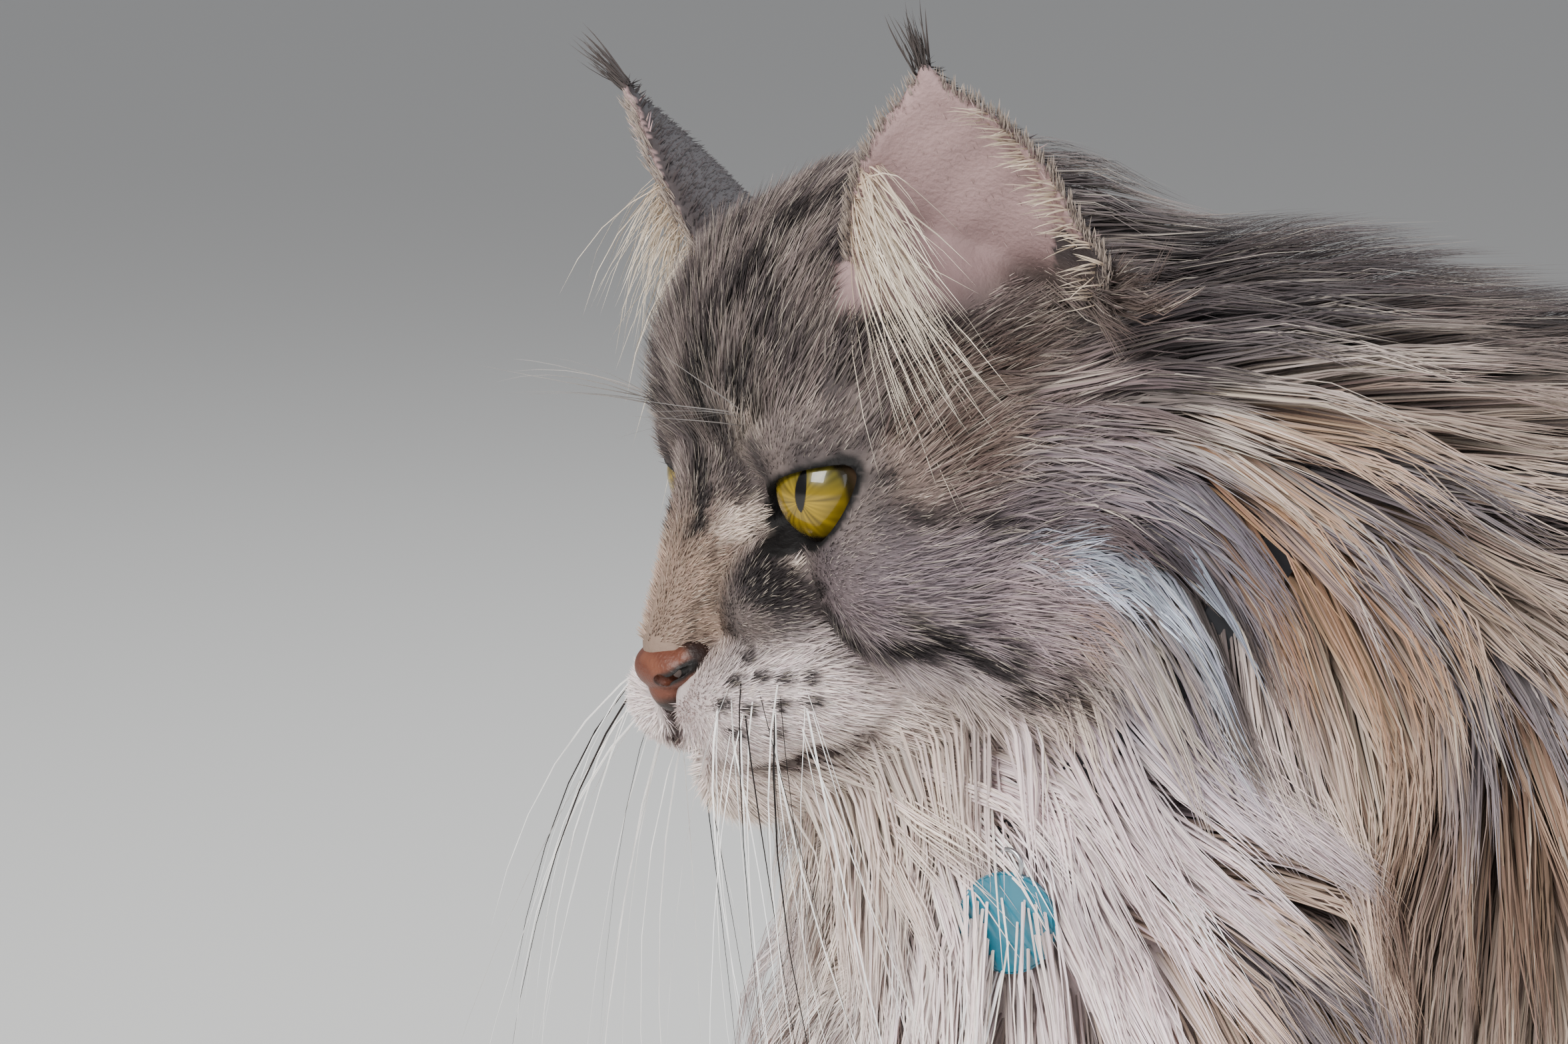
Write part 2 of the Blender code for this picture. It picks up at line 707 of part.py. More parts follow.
def tailLocks(name, own, coat, chance):
    first, last = TAIL_NODES[name]
    made = []
    for index in range(first, last):
        start, end = Vector(TAIL_PATH[index]), Vector(TAIL_PATH[index + 1])
        axis = (end - start).normalized()
        turn = 45 if index % 2 else 0
        made += ringOfLocks(own, coat, start.lerp(end, 0.3), axis, [turn + 90 * k for k in range(4)],
                            (0.074, 0.048), chance,
                            lambda place, normal, axis=axis: axis + normal * 0.45,
                            lift=0.032, drop=0.12, steps=3)
    return made


# The collar lies round the neck, under the long hair of the ruff
COLLAR_CENTRE = Vector((0.003, -0.106, 0.293))
COLLAR_AXIS = Vector((0, -0.75, 0.66)).normalized()
COLLAR_POINTS = 20
TAG_TURN = 142                                # degrees round the collar from the nape


def nearCollar(place):
    return abs((place - COLLAR_CENTRE).dot(COLLAR_AXIS)) < COLLAR_WIDTH / 2 + ROOT_DEPTH


def collarOut(degrees):
    """The way out from the middle of the collar, at an angle from the nape towards the cat's left."""
    up = (Vector((0, 0, 1)) - COLLAR_AXIS * COLLAR_AXIS.z).normalized()
    return up * cos(radians(degrees)) + up.cross(COLLAR_AXIS) * sin(radians(degrees))


def collarBand(own):
    """A flat strap that follows the coat round the neck."""
    outs = [collarOut(360 * index / COLLAR_POINTS) for index in range(COLLAR_POINTS)]
    reach = [(surfaceAt(own, COLLAR_CENTRE, out)[0] - COLLAR_CENTRE).length for out in outs]
    for _ in range(4):
        ahead = reach[1:] + reach[:1]
        reach = [(reach[i - 1] + 2 * reach[i] + ahead[i]) / 4 for i in range(COLLAR_POINTS)]
    shape = bmesh.new()
    rings = []
    for out, far in zip(outs, reach):
        edge = COLLAR_AXIS * COLLAR_WIDTH / 2
        inner, outer = out * far, out * (far + COLLAR_THICKNESS)
        rings.append([shape.verts.new(COLLAR_CENTRE + p) for p in
                      (inner - edge, outer - edge, outer + edge, inner + edge)])
    for low, high in zip(rings, rings[1:] + rings[:1]):
        for i in range(4):
            j = (i + 1) % 4
            shape.faces.new((low[i], low[j], high[j], high[i]))
    outward(shape)
    bmesh.ops.triangulate(shape, faces=shape.faces)
    return addObject("collar", toMesh("collar", shape), collarWeb)


def collarTag(own):
    """A plain round tag that hangs from the strap, flat against the coat."""
    out = collarOut(TAG_TURN)
    strap = surfaceAt(own, COLLAR_CENTRE, out)[0]
    outward = Vector((out.x, out.y, 0)).normalized()
    centre = strap + outward * (COLLAR_THICKNESS + TAG_CLEARANCE)
    centre.z -= COLLAR_WIDTH / 2 + TAG_RADIUS
    shape = bmesh.new()
    turn = outward.to_track_quat("Z", "Y").to_matrix().to_4x4()
    bmesh.ops.create_cone(shape, cap_ends=True, segments=20, radius1=TAG_RADIUS, radius2=TAG_RADIUS,
                          depth=TAG_THICKNESS, matrix=Matrix.Translation(centre) @ turn)
    bmesh.ops.triangulate(shape, faces=shape.faces)
    return addObject("collar_tag", toMesh("collar_tag", shape), tagEnamel)


# Lie of the coat

def clamp(value):
    return max(0.0, min(1.0, value))


def ruffLie(place, normal):
    """Back along the nape, back and down at the sides, straight down and forward under the chin."""
    side = clamp((0.75 - normal.z) / 0.9)
    front = clamp((-normal.y - 0.1) / 0.6)
    back = Vector((0, 1.0, -0.20))
    return back.lerp(Vector((0, 0.45 - 0.60 * front, -1.0)), side)


def bodyLie(place, normal):
    side = clamp((0.8 - normal.z) / 1.1)
    return Vector((0, 1.0, -0.10)).lerp(Vector((0, 0.55, -0.9)), side)


def neckLocks(own, coat, chance):
    made = []
    behindHead = HEAD_CUT[0] - HEAD_CUT[1].normalized() * RUFF_OFFSET
    made += ringOfLocks(own, coat, behindHead, -HEAD_CUT[1], [20 + 40 * k for k in range(9)],
                        (0.062, 0.042), chance, ruffLie, lift=0.014, drop=0.20, steps=3)
    front, back = Vector((0.001, -0.072, 0.284)), Vector((0, -0.036, 0.266))
    for ring in range(2):
        shift = 20 if ring % 2 else 0
        made += ringOfLocks(own, coat, front.lerp(back, ring), back - front,
                            [shift - 130 + 40 * k for k in range(7)],
                            (0.066, 0.046), chance, ruffLie, lift=0.015, drop=0.20, steps=3)
    for row in range(3):
        for column in range(3):
            across = (column - 1) * 0.036 + (0.009 if row % 2 else -0.009)
            centre = Vector((across * 0.6, -0.098, 0.250 - 0.034 * row))
            place, normal = rootOn(own, coat, centre, Vector((across * 14, -1, -0.1)))
            if place is not None and not nearCollar(place):
                made.append(lock(coat, place, normal, ruffLie(place, normal), (0.062, 0.042), chance,
                                 lift=0.021, drop=0.30, steps=3))
    return made


def torsoLocks(own, coat, chance):
    made = []
    for ring in range(8):
        shift = 24 if ring % 2 else 0
        made += ringOfLocks(own, coat, Vector((0, -0.022 + 0.051 * ring, 0.250)), Vector((0, 1, 0)),
                            [shift - 156 + 48 * k for k in range(7)],
                            (0.078, 0.056), chance, bodyLie, lift=0.012, drop=0.18, steps=3)
    return made


def hindlegLocks(side, own, coat, chance):
    """The coat of the thigh, and the full breeches behind it."""
    made = []
    for row in range(3):
        for column in range(3):
            centre = Vector((side * 0.054, 0.302, 0.240 - 0.036 * row))
            turn = radians(-30 + 55 * column + (20 if row % 2 else 0))
            out = Vector((side * cos(turn), sin(turn), 0.1))
            place, normal = rootOn(own, coat, centre, out)
            if place is not None:
                made.append(lock(coat, place, normal, Vector((0, 0.45, -1)), (0.058, 0.034), chance,
                                 lift=0.014, drop=0.3, steps=3))
    return made


def forelegLocks(side, own, coat, chance):
    """Feathering behind the elbow and forearm."""
    made = []
    for row in range(4):
        centre = Vector((side * 0.055, 0.012 - 0.003 * row, 0.150 - 0.020 * row))
        place, normal = rootOn(own, coat, centre, Vector((side * (0.25 - 0.5 * (row % 2)), 1, 0)))
        if place is not None:
            made.append(lock(coat, place, normal, Vector((0, 0.35, -1)), (0.030, 0.014), chance,
                             lift=0.008, drop=0.3))
    return made


def cheekLocks(own, coat, chance):
    """Tufts at the back edge of each cheek."""
    made = []
    turned = headPlace.to_3x3().normalized()
    for side in (1, -1):
        for row in range(2):
            for column in range(5):
                centre = headPlace @ Vector((0, 66 + 7 * row - 3 * column, 18 - 15 * column - 6 * row))
                place, normal = surfaceAt(own, centre, turned @ Vector((side, 0.15, -0.1)))
                if place is not None:
                    lie = turned @ Vector((side * 0.15, 0.95, -0.35 - 0.22 * column))
                    made.append(lock(coat, place, normal, lie, (0.040, 0.025), chance, lift=0.007,
                                     drop=0.10, steps=3))
    return made


def build():
    chance = random.Random(7)
    head = remember(cutFlat(headCore(), HEAD_CUT, 1))
    eyes = [eyeball("eye_left", 1), eyeball("eye_right", -1)]
    cutWith(head, [lidWindow(1), lidWindow(-1)])
    nose = noseLeather()
    ears = [remember(earCup(name)) for name in EARS]
    neck = remember(neckCore())
    torso = remember(cutFlat(torsoCore(), CHEST_CUT, -1))
    forelegs = [foreleg("foreleg_left", 1), foreleg("foreleg_right", -1)]
    hindlegs = [hindleg("hindleg_left", 1), hindleg("hindleg_right", -1)]
    forepaws = [paw("forepaw_left", 1, -0.026), paw("forepaw_right", -1, -0.026)]
    hindpaws = [paw("hindpaw_left", 1, 0.334), paw("hindpaw_right", -1, 0.334)]
    tails = [tailCore(name) for name in TAIL_NODES]
    jaw = cutFlat(lowerJaw(), HEAD_CUT, 1)
    collar = collarBand(treeOf([neck]))
    tag = collarTag(treeOf([neck]))
    for thing in (*eyes, *forelegs, *hindlegs, *forepaws, *hindpaws, *tails, jaw, collar, tag):
        remember(thing)
    coat = treeOf([head, jaw, neck, torso, collar, *forelegs, *hindlegs, *tails])

    fuse(head, cheekLocks(treeOf([head]), coat, chance))
    cutClear(head, [*eyes, nose])
    for ear in ears:
        fuse(ear, earLocks(ear.name, chance))
        cutClear(ear, [head])
    pads = [remember(whiskerPad("whisker_pad_left", 1)), remember(whiskerPad("whisker_pad_right", -1))]
    for pad, side in zip(pads, (1, -1)):
        fuse(pad, whiskers(side, chance))
        cutClear(pad, [head, nose])
    cutClear(jaw, [head, *pads])
    fuse(neck, neckLocks(treeOf([neck]), coat, chance))
    fuse(torso, torsoLocks(treeOf([torso]), coat, chance))
    for side, fore, hind in zip((1, -1), forelegs, hindlegs):
        fuse(fore, forelegLocks(side, treeOf([fore]), coat, chance))
        fuse(hind, hindlegLocks(side, treeOf([hind]), coat, chance))
    for tail in tails:
        fuse(tail, tailLocks(tail.name, treeOf([tail]), coat, chance))

    cutClear(collar, [head, jaw])
    cutClear(neck, [head, jaw, collar, tag, *pads, *ears])
    cutClear(torso, [neck, head, jaw, collar, tag])
    for leg, foot in zip(forelegs, forepaws):
        cutClear(leg, [torso, neck, foot])
    for leg, foot in zip(hindlegs, hindpaws):
        cutClear(leg, [torso, foot])
    cutClear(tails[0], [torso, *hindlegs])
    cutClear(tails[1], [tails[0], *hindlegs])
    cutClear(tails[2], [tails[1]])
    for foot in forepaws + hindpaws:
        cutWith(foot, [floorSlab()])


def centreOnFloor():
    """Moves the cat sideways so that the middle of its outline stands over the origin."""
    reach = [reachOf(thing.data) for thing in catParts.objects]
    move = Vector([-(min(r[i][0] for r in reach) + max(r[i][1] for r in reach)) / 2 for i in range(2)] + [0])
    for thing in catParts.objects:
        thing.data.transform(Matrix.Translation(move))
    return move


build()
catMove = centreOnFloor()
for thing in catParts.objects:
    thing.data.shade_smooth()
    thing.data.set_sharp_from_angle(angle=SHARP_ANGLE)
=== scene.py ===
import bmesh
import bpy
import numpy as np
from math import cos, pi, radians, sin
from mathutils import Euler, Matrix, Vector
from mathutils.bvhtree import BVHTree
from mathutils.kdtree import KDTree


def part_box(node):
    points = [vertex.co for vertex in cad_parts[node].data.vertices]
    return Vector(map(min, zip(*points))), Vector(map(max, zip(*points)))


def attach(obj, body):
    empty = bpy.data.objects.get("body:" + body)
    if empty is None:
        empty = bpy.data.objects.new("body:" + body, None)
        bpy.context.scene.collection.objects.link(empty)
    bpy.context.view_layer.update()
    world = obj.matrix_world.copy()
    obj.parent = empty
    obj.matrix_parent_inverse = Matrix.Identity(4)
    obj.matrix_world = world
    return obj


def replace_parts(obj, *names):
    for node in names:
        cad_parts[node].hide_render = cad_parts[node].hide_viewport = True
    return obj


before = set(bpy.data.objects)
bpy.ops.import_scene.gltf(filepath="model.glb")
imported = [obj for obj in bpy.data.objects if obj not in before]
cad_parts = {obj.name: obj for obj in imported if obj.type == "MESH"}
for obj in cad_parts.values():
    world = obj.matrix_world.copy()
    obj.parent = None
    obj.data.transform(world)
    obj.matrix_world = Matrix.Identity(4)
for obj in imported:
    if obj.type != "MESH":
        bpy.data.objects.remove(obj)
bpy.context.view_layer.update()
mm = 0.001

# Where the cat stands. The head has a frame of its own, in millimetres, with the nose tip at zero.
headValues = {"nose_tip": (0.014, -0.205, 0.287), "size": 1.027, "turn": 8, "drop": 21, "lean": -3,
              "eye_centre": (22.5, 40, 20), "eye_radius": 11.3}
headTurn = Euler([radians(headValues[key]) for key in ("drop", "lean", "turn")], "XYZ").to_matrix().to_4x4()
headPlace = Matrix.Translation(headValues["nose_tip"]) @ headTurn @ Matrix.Scale(mm * headValues["size"], 4)
eyeLow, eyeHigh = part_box("eye_left")
bodyPlace = Matrix.Translation((eyeLow + eyeHigh) / 2 - headPlace @ Vector(headValues["eye_centre"]))
headPlace = bodyPlace @ headPlace
toHead = np.array(headPlace.inverted())
toBody = np.array(bodyPlace.inverted())


# Numbers and colours

def linear(code):
    """An sRGB hex colour as linear red, green and blue."""
    parts = np.array([int(code[i:i + 2], 16) for i in (1, 3, 5)]) / 255
    return np.where(parts <= 0.04045, parts / 12.92, ((parts + 0.055) / 1.055) ** 2.4)


def moved(matrix, points):
    return points @ matrix[:3, :3].T + matrix[:3, 3]


def smooth(low, high, values):
    share = np.clip((values - low) / (high - low), 0, 1)
    return share * share * (3 - 2 * share)


def unit(vectors):
    return vectors / np.maximum(np.linalg.norm(vectors, axis=-1, keepdims=True), 1e-9)


def mixed(a, b, share):
    share = np.asarray(share)[..., None]
    return a * (1 - share) + b * share


def waves(points, size, seed, count=10):
    """A smooth random field, about -1 to 1, that changes over about that size."""
    chance = np.random.default_rng(seed)
    ways = unit(chance.normal(size=(count, 3))) * (2 * pi / size) * chance.uniform(0.6, 1.4, (count, 1))
    return np.sin(points @ ways.T + chance.uniform(0, 2 * pi, count)).sum(axis=1) / np.sqrt(count / 2)


def nearLine(points, path):
    """The distance from each point to a line through the path's points."""
    best = np.full(len(points), 1e9)
    path = np.array(path, float)
    for start, end in zip(path, path[1:]):
        along = end - start
        share = np.clip(((points - start) @ along) / (along @ along), 0, 1)
        best = np.minimum(best, np.linalg.norm(points - start - share[:, None] * along, axis=1))
    return best


# Materials

def addNode(material, kind, **values):
    node = material.node_tree.nodes.new(kind)
    for key, value in values.items():
        if hasattr(node, key):
            setattr(node, key, value)
        else:
            node.inputs[key.replace("_", " ")].default_value = value
    return node


def plainMaterial(name, colour, roughness, **values):
    material = bpy.data.materials.new(name)
    material.use_nodes = True
    shader = material.node_tree.nodes["Principled BSDF"]
    shader.inputs["Base Color"].default_value = (*linear(colour), 1)
    shader.inputs["Roughness"].default_value = roughness
    for key, value in values.items():
        shader.inputs[key.replace("_", " ")].default_value = value
    return material


def paintedMaterial(name, roughness, bump, size, **values):
    """Takes its colour from the colours painted on the mesh, markings and painted shade alike, with a fine bump."""
    material = plainMaterial(name, "#808080", roughness, **values)
    links = material.node_tree.links
    shader = material.node_tree.nodes["Principled BSDF"]
    paint = addNode(material, "ShaderNodeVertexColor", layer_name="coat")
    links.new(paint.outputs["Color"], shader.inputs["Base Color"])
    if bump:
        where = addNode(material, "ShaderNodeTexCoord")
        grain = addNode(material, "ShaderNodeTexNoise", Scale=size, Detail=3.0)
        lift = addNode(material, "ShaderNodeBump", Strength=bump, Distance=0.0006)
        links.new(where.outputs["Object"], grain.inputs["Vector"])
        links.new(grain.outputs["Fac"], lift.inputs["Height"])
        links.new(lift.outputs["Normal"], shader.inputs["Normal"])
    return material


def hairMaterial():
    """Fur: the tuft's own colour, with fine lighter and darker hairs that run along it."""
    material = paintedMaterial("cat fur", 0.8, 0, 0, Specular_IOR_Level=0.12, Sheen_Weight=0.08, Sheen_Roughness=0.6)
    links = material.node_tree.links
    shader = material.node_tree.nodes["Principled BSDF"]
    paint = next(node for node in material.node_tree.nodes if node.type == "VERTEX_COLOR")
    where = addNode(material, "ShaderNodeUVMap", uv_map="strand")
    grain = addNode(material, "ShaderNodeTexNoise", Scale=1.0, Detail=2.0)
    tone = addNode(material, "ShaderNodeMapRange", From_Min=0.3, From_Max=0.7, To_Min=0.72, To_Max=1.25)
    blend = addNode(material, "ShaderNodeMix", data_type="RGBA", blend_type="MULTIPLY")
    blend.inputs[0].default_value = 1.0
    lift = addNode(material, "ShaderNodeBump", Strength=0.6, Distance=0.0003)
    links.new(where.outputs["UV"], grain.inputs["Vector"])
    links.new(grain.outputs["Fac"], tone.inputs["Value"])
    links.new(paint.outputs["Color"], blend.inputs[6])
    links.new(tone.outputs["Result"], blend.inputs[7])
    links.new(blend.outputs[2], shader.inputs["Base Color"])
    links.new(grain.outputs["Fac"], lift.inputs["Height"])
    links.new(lift.outputs["Normal"], shader.inputs["Normal"])
    return material


furMaterial = hairMaterial()
skinMaterial = paintedMaterial("cat skin", 0.7, 0.5, 900, Specular_IOR_Level=0.25)
print("materials made")


# Moulding the skin: overlapping balls and limbs, run together and rounded

def ball(shape, centre, radii, place=headPlace, turn=0):
    matrix = place @ Matrix.Translation(centre) @ Matrix.Rotation(radians(turn), 4, "X") @ Matrix.Diagonal((*radii, 1))
    bmesh.ops.create_icosphere(shape, subdivisions=4, radius=1, matrix=matrix)


def limb(shape, start, end, startRadius, endRadius, place=headPlace):
    start, end = Vector(start), Vector(end)
    along = end - start
    middle = place @ Matrix.Translation((start + end) / 2) @ along.to_track_quat("Z", "Y").to_matrix().to_4x4()
    bmesh.ops.create_cone(shape, cap_ends=True, segments=40, radius1=startRadius, radius2=endRadius,
                          depth=along.length, matrix=middle)
    ball(shape, start, (startRadius,) * 3, place)
    ball(shape, end, (endRadius,) * 3, place)


def addObject(name, mesh, material=None):
    made = bpy.data.objects.new(name, mesh)
    bpy.context.scene.collection.objects.link(made)
    if material:
        mesh.materials.append(material)
    return made


def outward(shape):
    shape.normal_update()
    bmesh.ops.recalc_face_normals(shape, faces=shape.faces)
    if shape.calc_volume(signed=True) < 0:
        bmesh.ops.reverse_faces(shape, faces=shape.faces)


def toMesh(name, shape):
    mesh = bpy.data.meshes.new(name)
    shape.to_mesh(mesh)
    shape.free()
    return mesh


def settle(thing):
    bpy.context.view_layer.update()
    graph = bpy.context.evaluated_depsgraph_get()
    mesh = bpy.data.meshes.new_from_object(thing.evaluated_get(graph))
    thing.modifiers.clear()
    thing.data = mesh
    mesh.materials.clear()
    mesh.polygons.foreach_set("material_index", np.zeros(len(mesh.polygons), np.int32))
    return thing


def mould(name, shape, voxel, rounding):
    thing = addObject(name, toMesh(name, shape))
    remesh = thing.modifiers.new("run together", "REMESH")
    remesh.mode = "VOXEL"
    remesh.voxel_size = voxel
    soften = thing.modifiers.new("round", "SMOOTH")
    soften.factor = 0.5
    soften.iterations = rounding
    return settle(thing)


def boolean(thing, operation, others):
    group = bpy.data.collections.new("others")
    for other in others:
        group.objects.link(other)
    cut = thing.modifiers.new(operation.lower(), "BOOLEAN")
    cut.operation = operation
    cut.operand_type = "COLLECTION"
    cut.collection = group
    cut.solver = "MANIFOLD"
    settle(thing)
    for other in others:
        bpy.data.objects.remove(other)
    bpy.data.collections.remove(group)
    return thing


def bothSides(point):
    x, y, z = point
    return ((x, y, z), (-x, y, z))


# The head's forms, in millimetres: centre and radii, on the middle line or on both sides
skinValues = {
    "middle": [((0, 70, 32), (38, 40, 36)), ((0, 61, 35), (31, 36, 32)), ((0, 84, 30), (31, 31, 29)), ((0, 15.5, -26.5), (10.5, 11.5, 10.5)),
               ((0, 48, -22), (19, 25, 12))],
    "pairs": [((20, 40, 29), (11.5, 12, 10)), ((29, 55, 4), (18.5, 28, 28)), ((32, 70, -10), (19, 30, 34)),
              ((13, 27, 2), (11.5, 13.5, 12.5)), ((12.0, 15.5, -12.0), (12.0, 14.4, 11.2)),
              ((18, 27, -13), (9.5, 14.5, 10.5)), ((6.3, 9.5, -12.0), (6.6, 8.2, 9.2))],
    "head_voxel": 1.35, "paw_voxel": 2.0, "body_voxel": 3.8, "lid_thickness": 1.4,
}


def headSkin():
    shape = bmesh.new()
    for centre, radii in skinValues["middle"]:
        ball(shape, centre, radii)
    for pair, radii in skinValues["pairs"]:
        for centre in bothSides(pair):
            ball(shape, centre, radii)
    limb(shape, (0, 9.8, 0), (0, 33, 22), 7.6, 12.6)
    for side in (1, -1):
        limb(shape, (side * 6, 22, -26), (side * 26, 62, -18), 9, 13.5)
    for centre in bothSides(headValues["eye_centre"]):
        ball(shape, centre, (headValues["eye_radius"] + skinValues["lid_thickness"],) * 3)
    for ear in earValues.values():
        earShell(shape, ear)
    return mould("cat_skin", shape, skinValues["head_voxel"] * mm, 4)


# The cup of each ear, in the head's frame: base, tip, the way it opens, half its width and its depth
earValues = {
    "left": {"base": (33.5, 73.5, 39), "tip": (51, 71, 90), "opens": (0.74, -0.66, -0.10), "half": 21.5,
             "depth": 14, "side": 1},
    "right": {"base": (-35, 65, 38), "tip": (-54, 60, 91), "opens": (-0.60, -0.79, -0.05), "half": 22.5,
              "depth": 14, "side": -1},
}
earThickness = 2.4
earFullness = 3.2


def earSpace(ear):
    base, tip = Vector(ear["base"]), Vector(ear["tip"])
    axis = (tip - base).normalized()
    opens = Vector(ear["opens"])
    opens = (opens - axis * opens.dot(axis)).normalized()
    return base, tip, axis, opens, axis.cross(opens) * ear["side"]


def earPoint(ear, share, t):
    """A point on the leaf of the ear: share from base to tip, t from the inner edge to the outer."""
    base, tip, axis, opens, across = earSpace(ear)
    height = (tip - base).length
    half = ear["half"] * (1 - share ** earFullness) + 0.5
    depth = ear["depth"] * (1 - share) ** 0.9
    pocket = 2.5 * np.exp(-((share - 0.22) / 0.10) ** 2) * smooth(0.5, 1.0, np.array(t))
    return (base + axis * (height * share - 4) + across * (half * sin(t * 1.35) / sin(1.35) + float(pocket))
            - opens * depth * (cos(t * 1.35) - cos(1.35)) * 1.1)


def earShell(shape, ear):
    rows, columns = 18, 17
    leaf = bmesh.new()
    grid = [[leaf.verts.new(earPoint(ear, row / rows, 2 * column / (columns - 1) - 1)) for column in range(columns)]
            for row in range(rows)]
    end = leaf.verts.new(ear["tip"])
    for low, high in zip(grid, grid[1:]):
        for i in range(columns - 1):
            leaf.faces.new((low[i], low[i + 1], high[i + 1], high[i]))
    for i in range(columns - 1):
        leaf.faces.new((grid[-1][i], grid[-1][i + 1], end))
    thing = addObject("ear", toMesh("ear", leaf))
    shell = thing.modifiers.new("thickness", "SOLIDIFY")
    shell.thickness = earThickness
    shell.offset = 0
    settle(thing)
    thing.data.transform(headPlace)
    shape.from_mesh(thing.data)
    bpy.data.objects.remove(thing)


# The body's forms, in metres
bodyValues = {
    "balls": [((0.004, -0.122, 0.258), (0.042, 0.043, 0.041)), ((0.003, -0.105, 0.218), (0.055, 0.057, 0.060)),
              ((0, 0.015, 0.240), (0.077, 0.106, 0.090)), ((0, 0.005, 0.304), (0.042, 0.072, 0.032)),
              ((0.056, -0.002, 0.242), (0.033, 0.058, 0.074)), ((-0.056, -0.002, 0.242), (0.033, 0.058, 0.074)),
              ((0, 0.165, 0.246), (0.075, 0.163, 0.078)), ((0, 0.262, 0.262), (0.063, 0.098, 0.064)),
              ((0, 0.318, 0.258), (0.068, 0.082, 0.070))],
    "tail": [(0.000, 0.374, 0.274), (0.000, 0.420, 0.256), (0.002, 0.456, 0.220), (0.005, 0.482, 0.176),
             (0.009, 0.507, 0.132), (0.014, 0.541, 0.096), (0.020, 0.586, 0.078), (0.026, 0.632, 0.084),
             (0.030, 0.668, 0.108)],
    "tail_radii": [0.022, 0.020, 0.018, 0.017, 0.017, 0.016, 0.015, 0.013, 0.009],
    "paws": {"fore": -0.026, "hind": 0.334},
}


def bodySkin():
    shape = bmesh.new()
    limb(shape, (0.004, -0.116, 0.317), (0, -0.030, 0.278), 0.043, 0.062, bodyPlace)
    for centre, radii in bodyValues["balls"]:
        ball(shape, centre, radii, bodyPlace)
    for side in (1, -1):
        limb(shape, (side * 0.054, -0.006, 0.200), (side * 0.054, 0.018, 0.150), 0.029, 0.025, bodyPlace)
        limb(shape, (side * 0.056, 0.018, 0.150), (side * 0.049, -0.002, 0.058), 0.025, 0.0175, bodyPlace)
        limb(shape, (side * 0.049, -0.002, 0.058), (side * 0.048, -0.010, 0.026), 0.0175, 0.0165, bodyPlace)
        ball(shape, (side * 0.054, 0.302, 0.214), (0.039, 0.068, 0.074), bodyPlace, -14)
        limb(shape, (side * 0.058, 0.275, 0.165), (side * 0.056, 0.366, 0.100), 0.035, 0.0195, bodyPlace)
        limb(shape, (side * 0.056, 0.372, 0.096), (side * 0.054, 0.352, 0.028), 0.0180, 0.0160, bodyPlace)
    path, radii = bodyValues["tail"], bodyValues["tail_radii"]
    for index in range(len(path) - 1):
        limb(shape, path[index], path[index + 1], radii[index], radii[index + 1], bodyPlace)
    return mould("body", shape, skinValues["body_voxel"] * mm, 6)


def pawSkin():
    shape = bmesh.new()
    for back in bodyValues["paws"].values():
        for side in (1, -1):
            place = (bodyPlace @ Matrix.Translation((side * 0.050, back, 0.0006))
                     @ Matrix.Rotation(radians(4 * side), 4, "Z"))
            ball(shape, (0, 0.012, 0.0160), (0.0205, 0.027, 0.0160), place)
            for index, across in enumerate((-0.0150, -0.0053, 0.0053, 0.0150)):
                ahead = -0.018 - (0.006 if index in (1, 2) else 0.0)
                ball(shape, (across, ahead, 0.0100), (0.0078, 0.0142, 0.0100), place)
    return mould("paws", shape, skinValues["paw_voxel"] * mm, 3)


# The open lids, in the frame of one eye: x towards the outer corner, y up, z out along the gaze
lidValues = {"gaze": (0.30, -0.95, 0.0), "tilt": 15, "half_length": 13.0, "upper": 6.4, "lower": 7.4}


def eyeSpace(side, gaze, slant=None):
    x, y, z = headValues["eye_centre"]
    out = Vector((side * gaze[0], gaze[1], gaze[2])).normalized()
    up = Vector((0, 0, 1))
    up = (up - out * up.dot(out)).normalized()
    across = up.cross(out) * side
    tilt = radians(lidValues["tilt"] if slant is None else slant)
    across, up = across * cos(tilt) + up * sin(tilt), up * cos(tilt) - across * sin(tilt)
    axes = Matrix((across, up, out)).transposed().to_4x4()
    return headPlace @ Matrix.Translation((side * x, y, z)) @ axes


def lidWindow(side):
    shape = bmesh.new()
    ring = []
    for index in range(48):
        angle = 2 * pi * index / 48
        height = lidValues["upper"] if sin(angle) > 0 else lidValues["lower"]
        rise = height * abs(sin(angle)) ** 1.2 * (1 if sin(angle) > 0 else -1)
        ring.append(shape.verts.new((lidValues["half_length"] * cos(angle), rise, 3.0)))
    made = bmesh.ops.extrude_face_region(shape, geom=[shape.faces.new(ring)])
    lifted = [v for v in made["geom"] if isinstance(v, bmesh.types.BMVert)]
    bmesh.ops.translate(shape, verts=lifted, vec=(0, 0, 22))
    shape.transform(eyeSpace(side, lidValues["gaze"]))
    outward(shape)
    return addObject("window", toMesh("window", shape))


def lidLevel(points):
    """1 on the edge of the open lids, less inside and more outside, for points in the row frame."""
    best = np.full(len(points), 9.0)
    for side in (1, -1):
        inEye = moved(np.array(eyeSpace(side, lidValues["gaze"]).inverted()), points)
        across = np.clip(np.abs(inEye[:, 0]) / lidValues["half_length"], 0, 4)
        height = np.where(inEye[:, 1] > 0, lidValues["upper"], lidValues["lower"])
        level = across ** 2 + (np.abs(inEye[:, 1]) / height) ** 1.7
        best = np.where(inEye[:, 2] > 0, np.minimum(best, np.sqrt(level)), best)
    return best


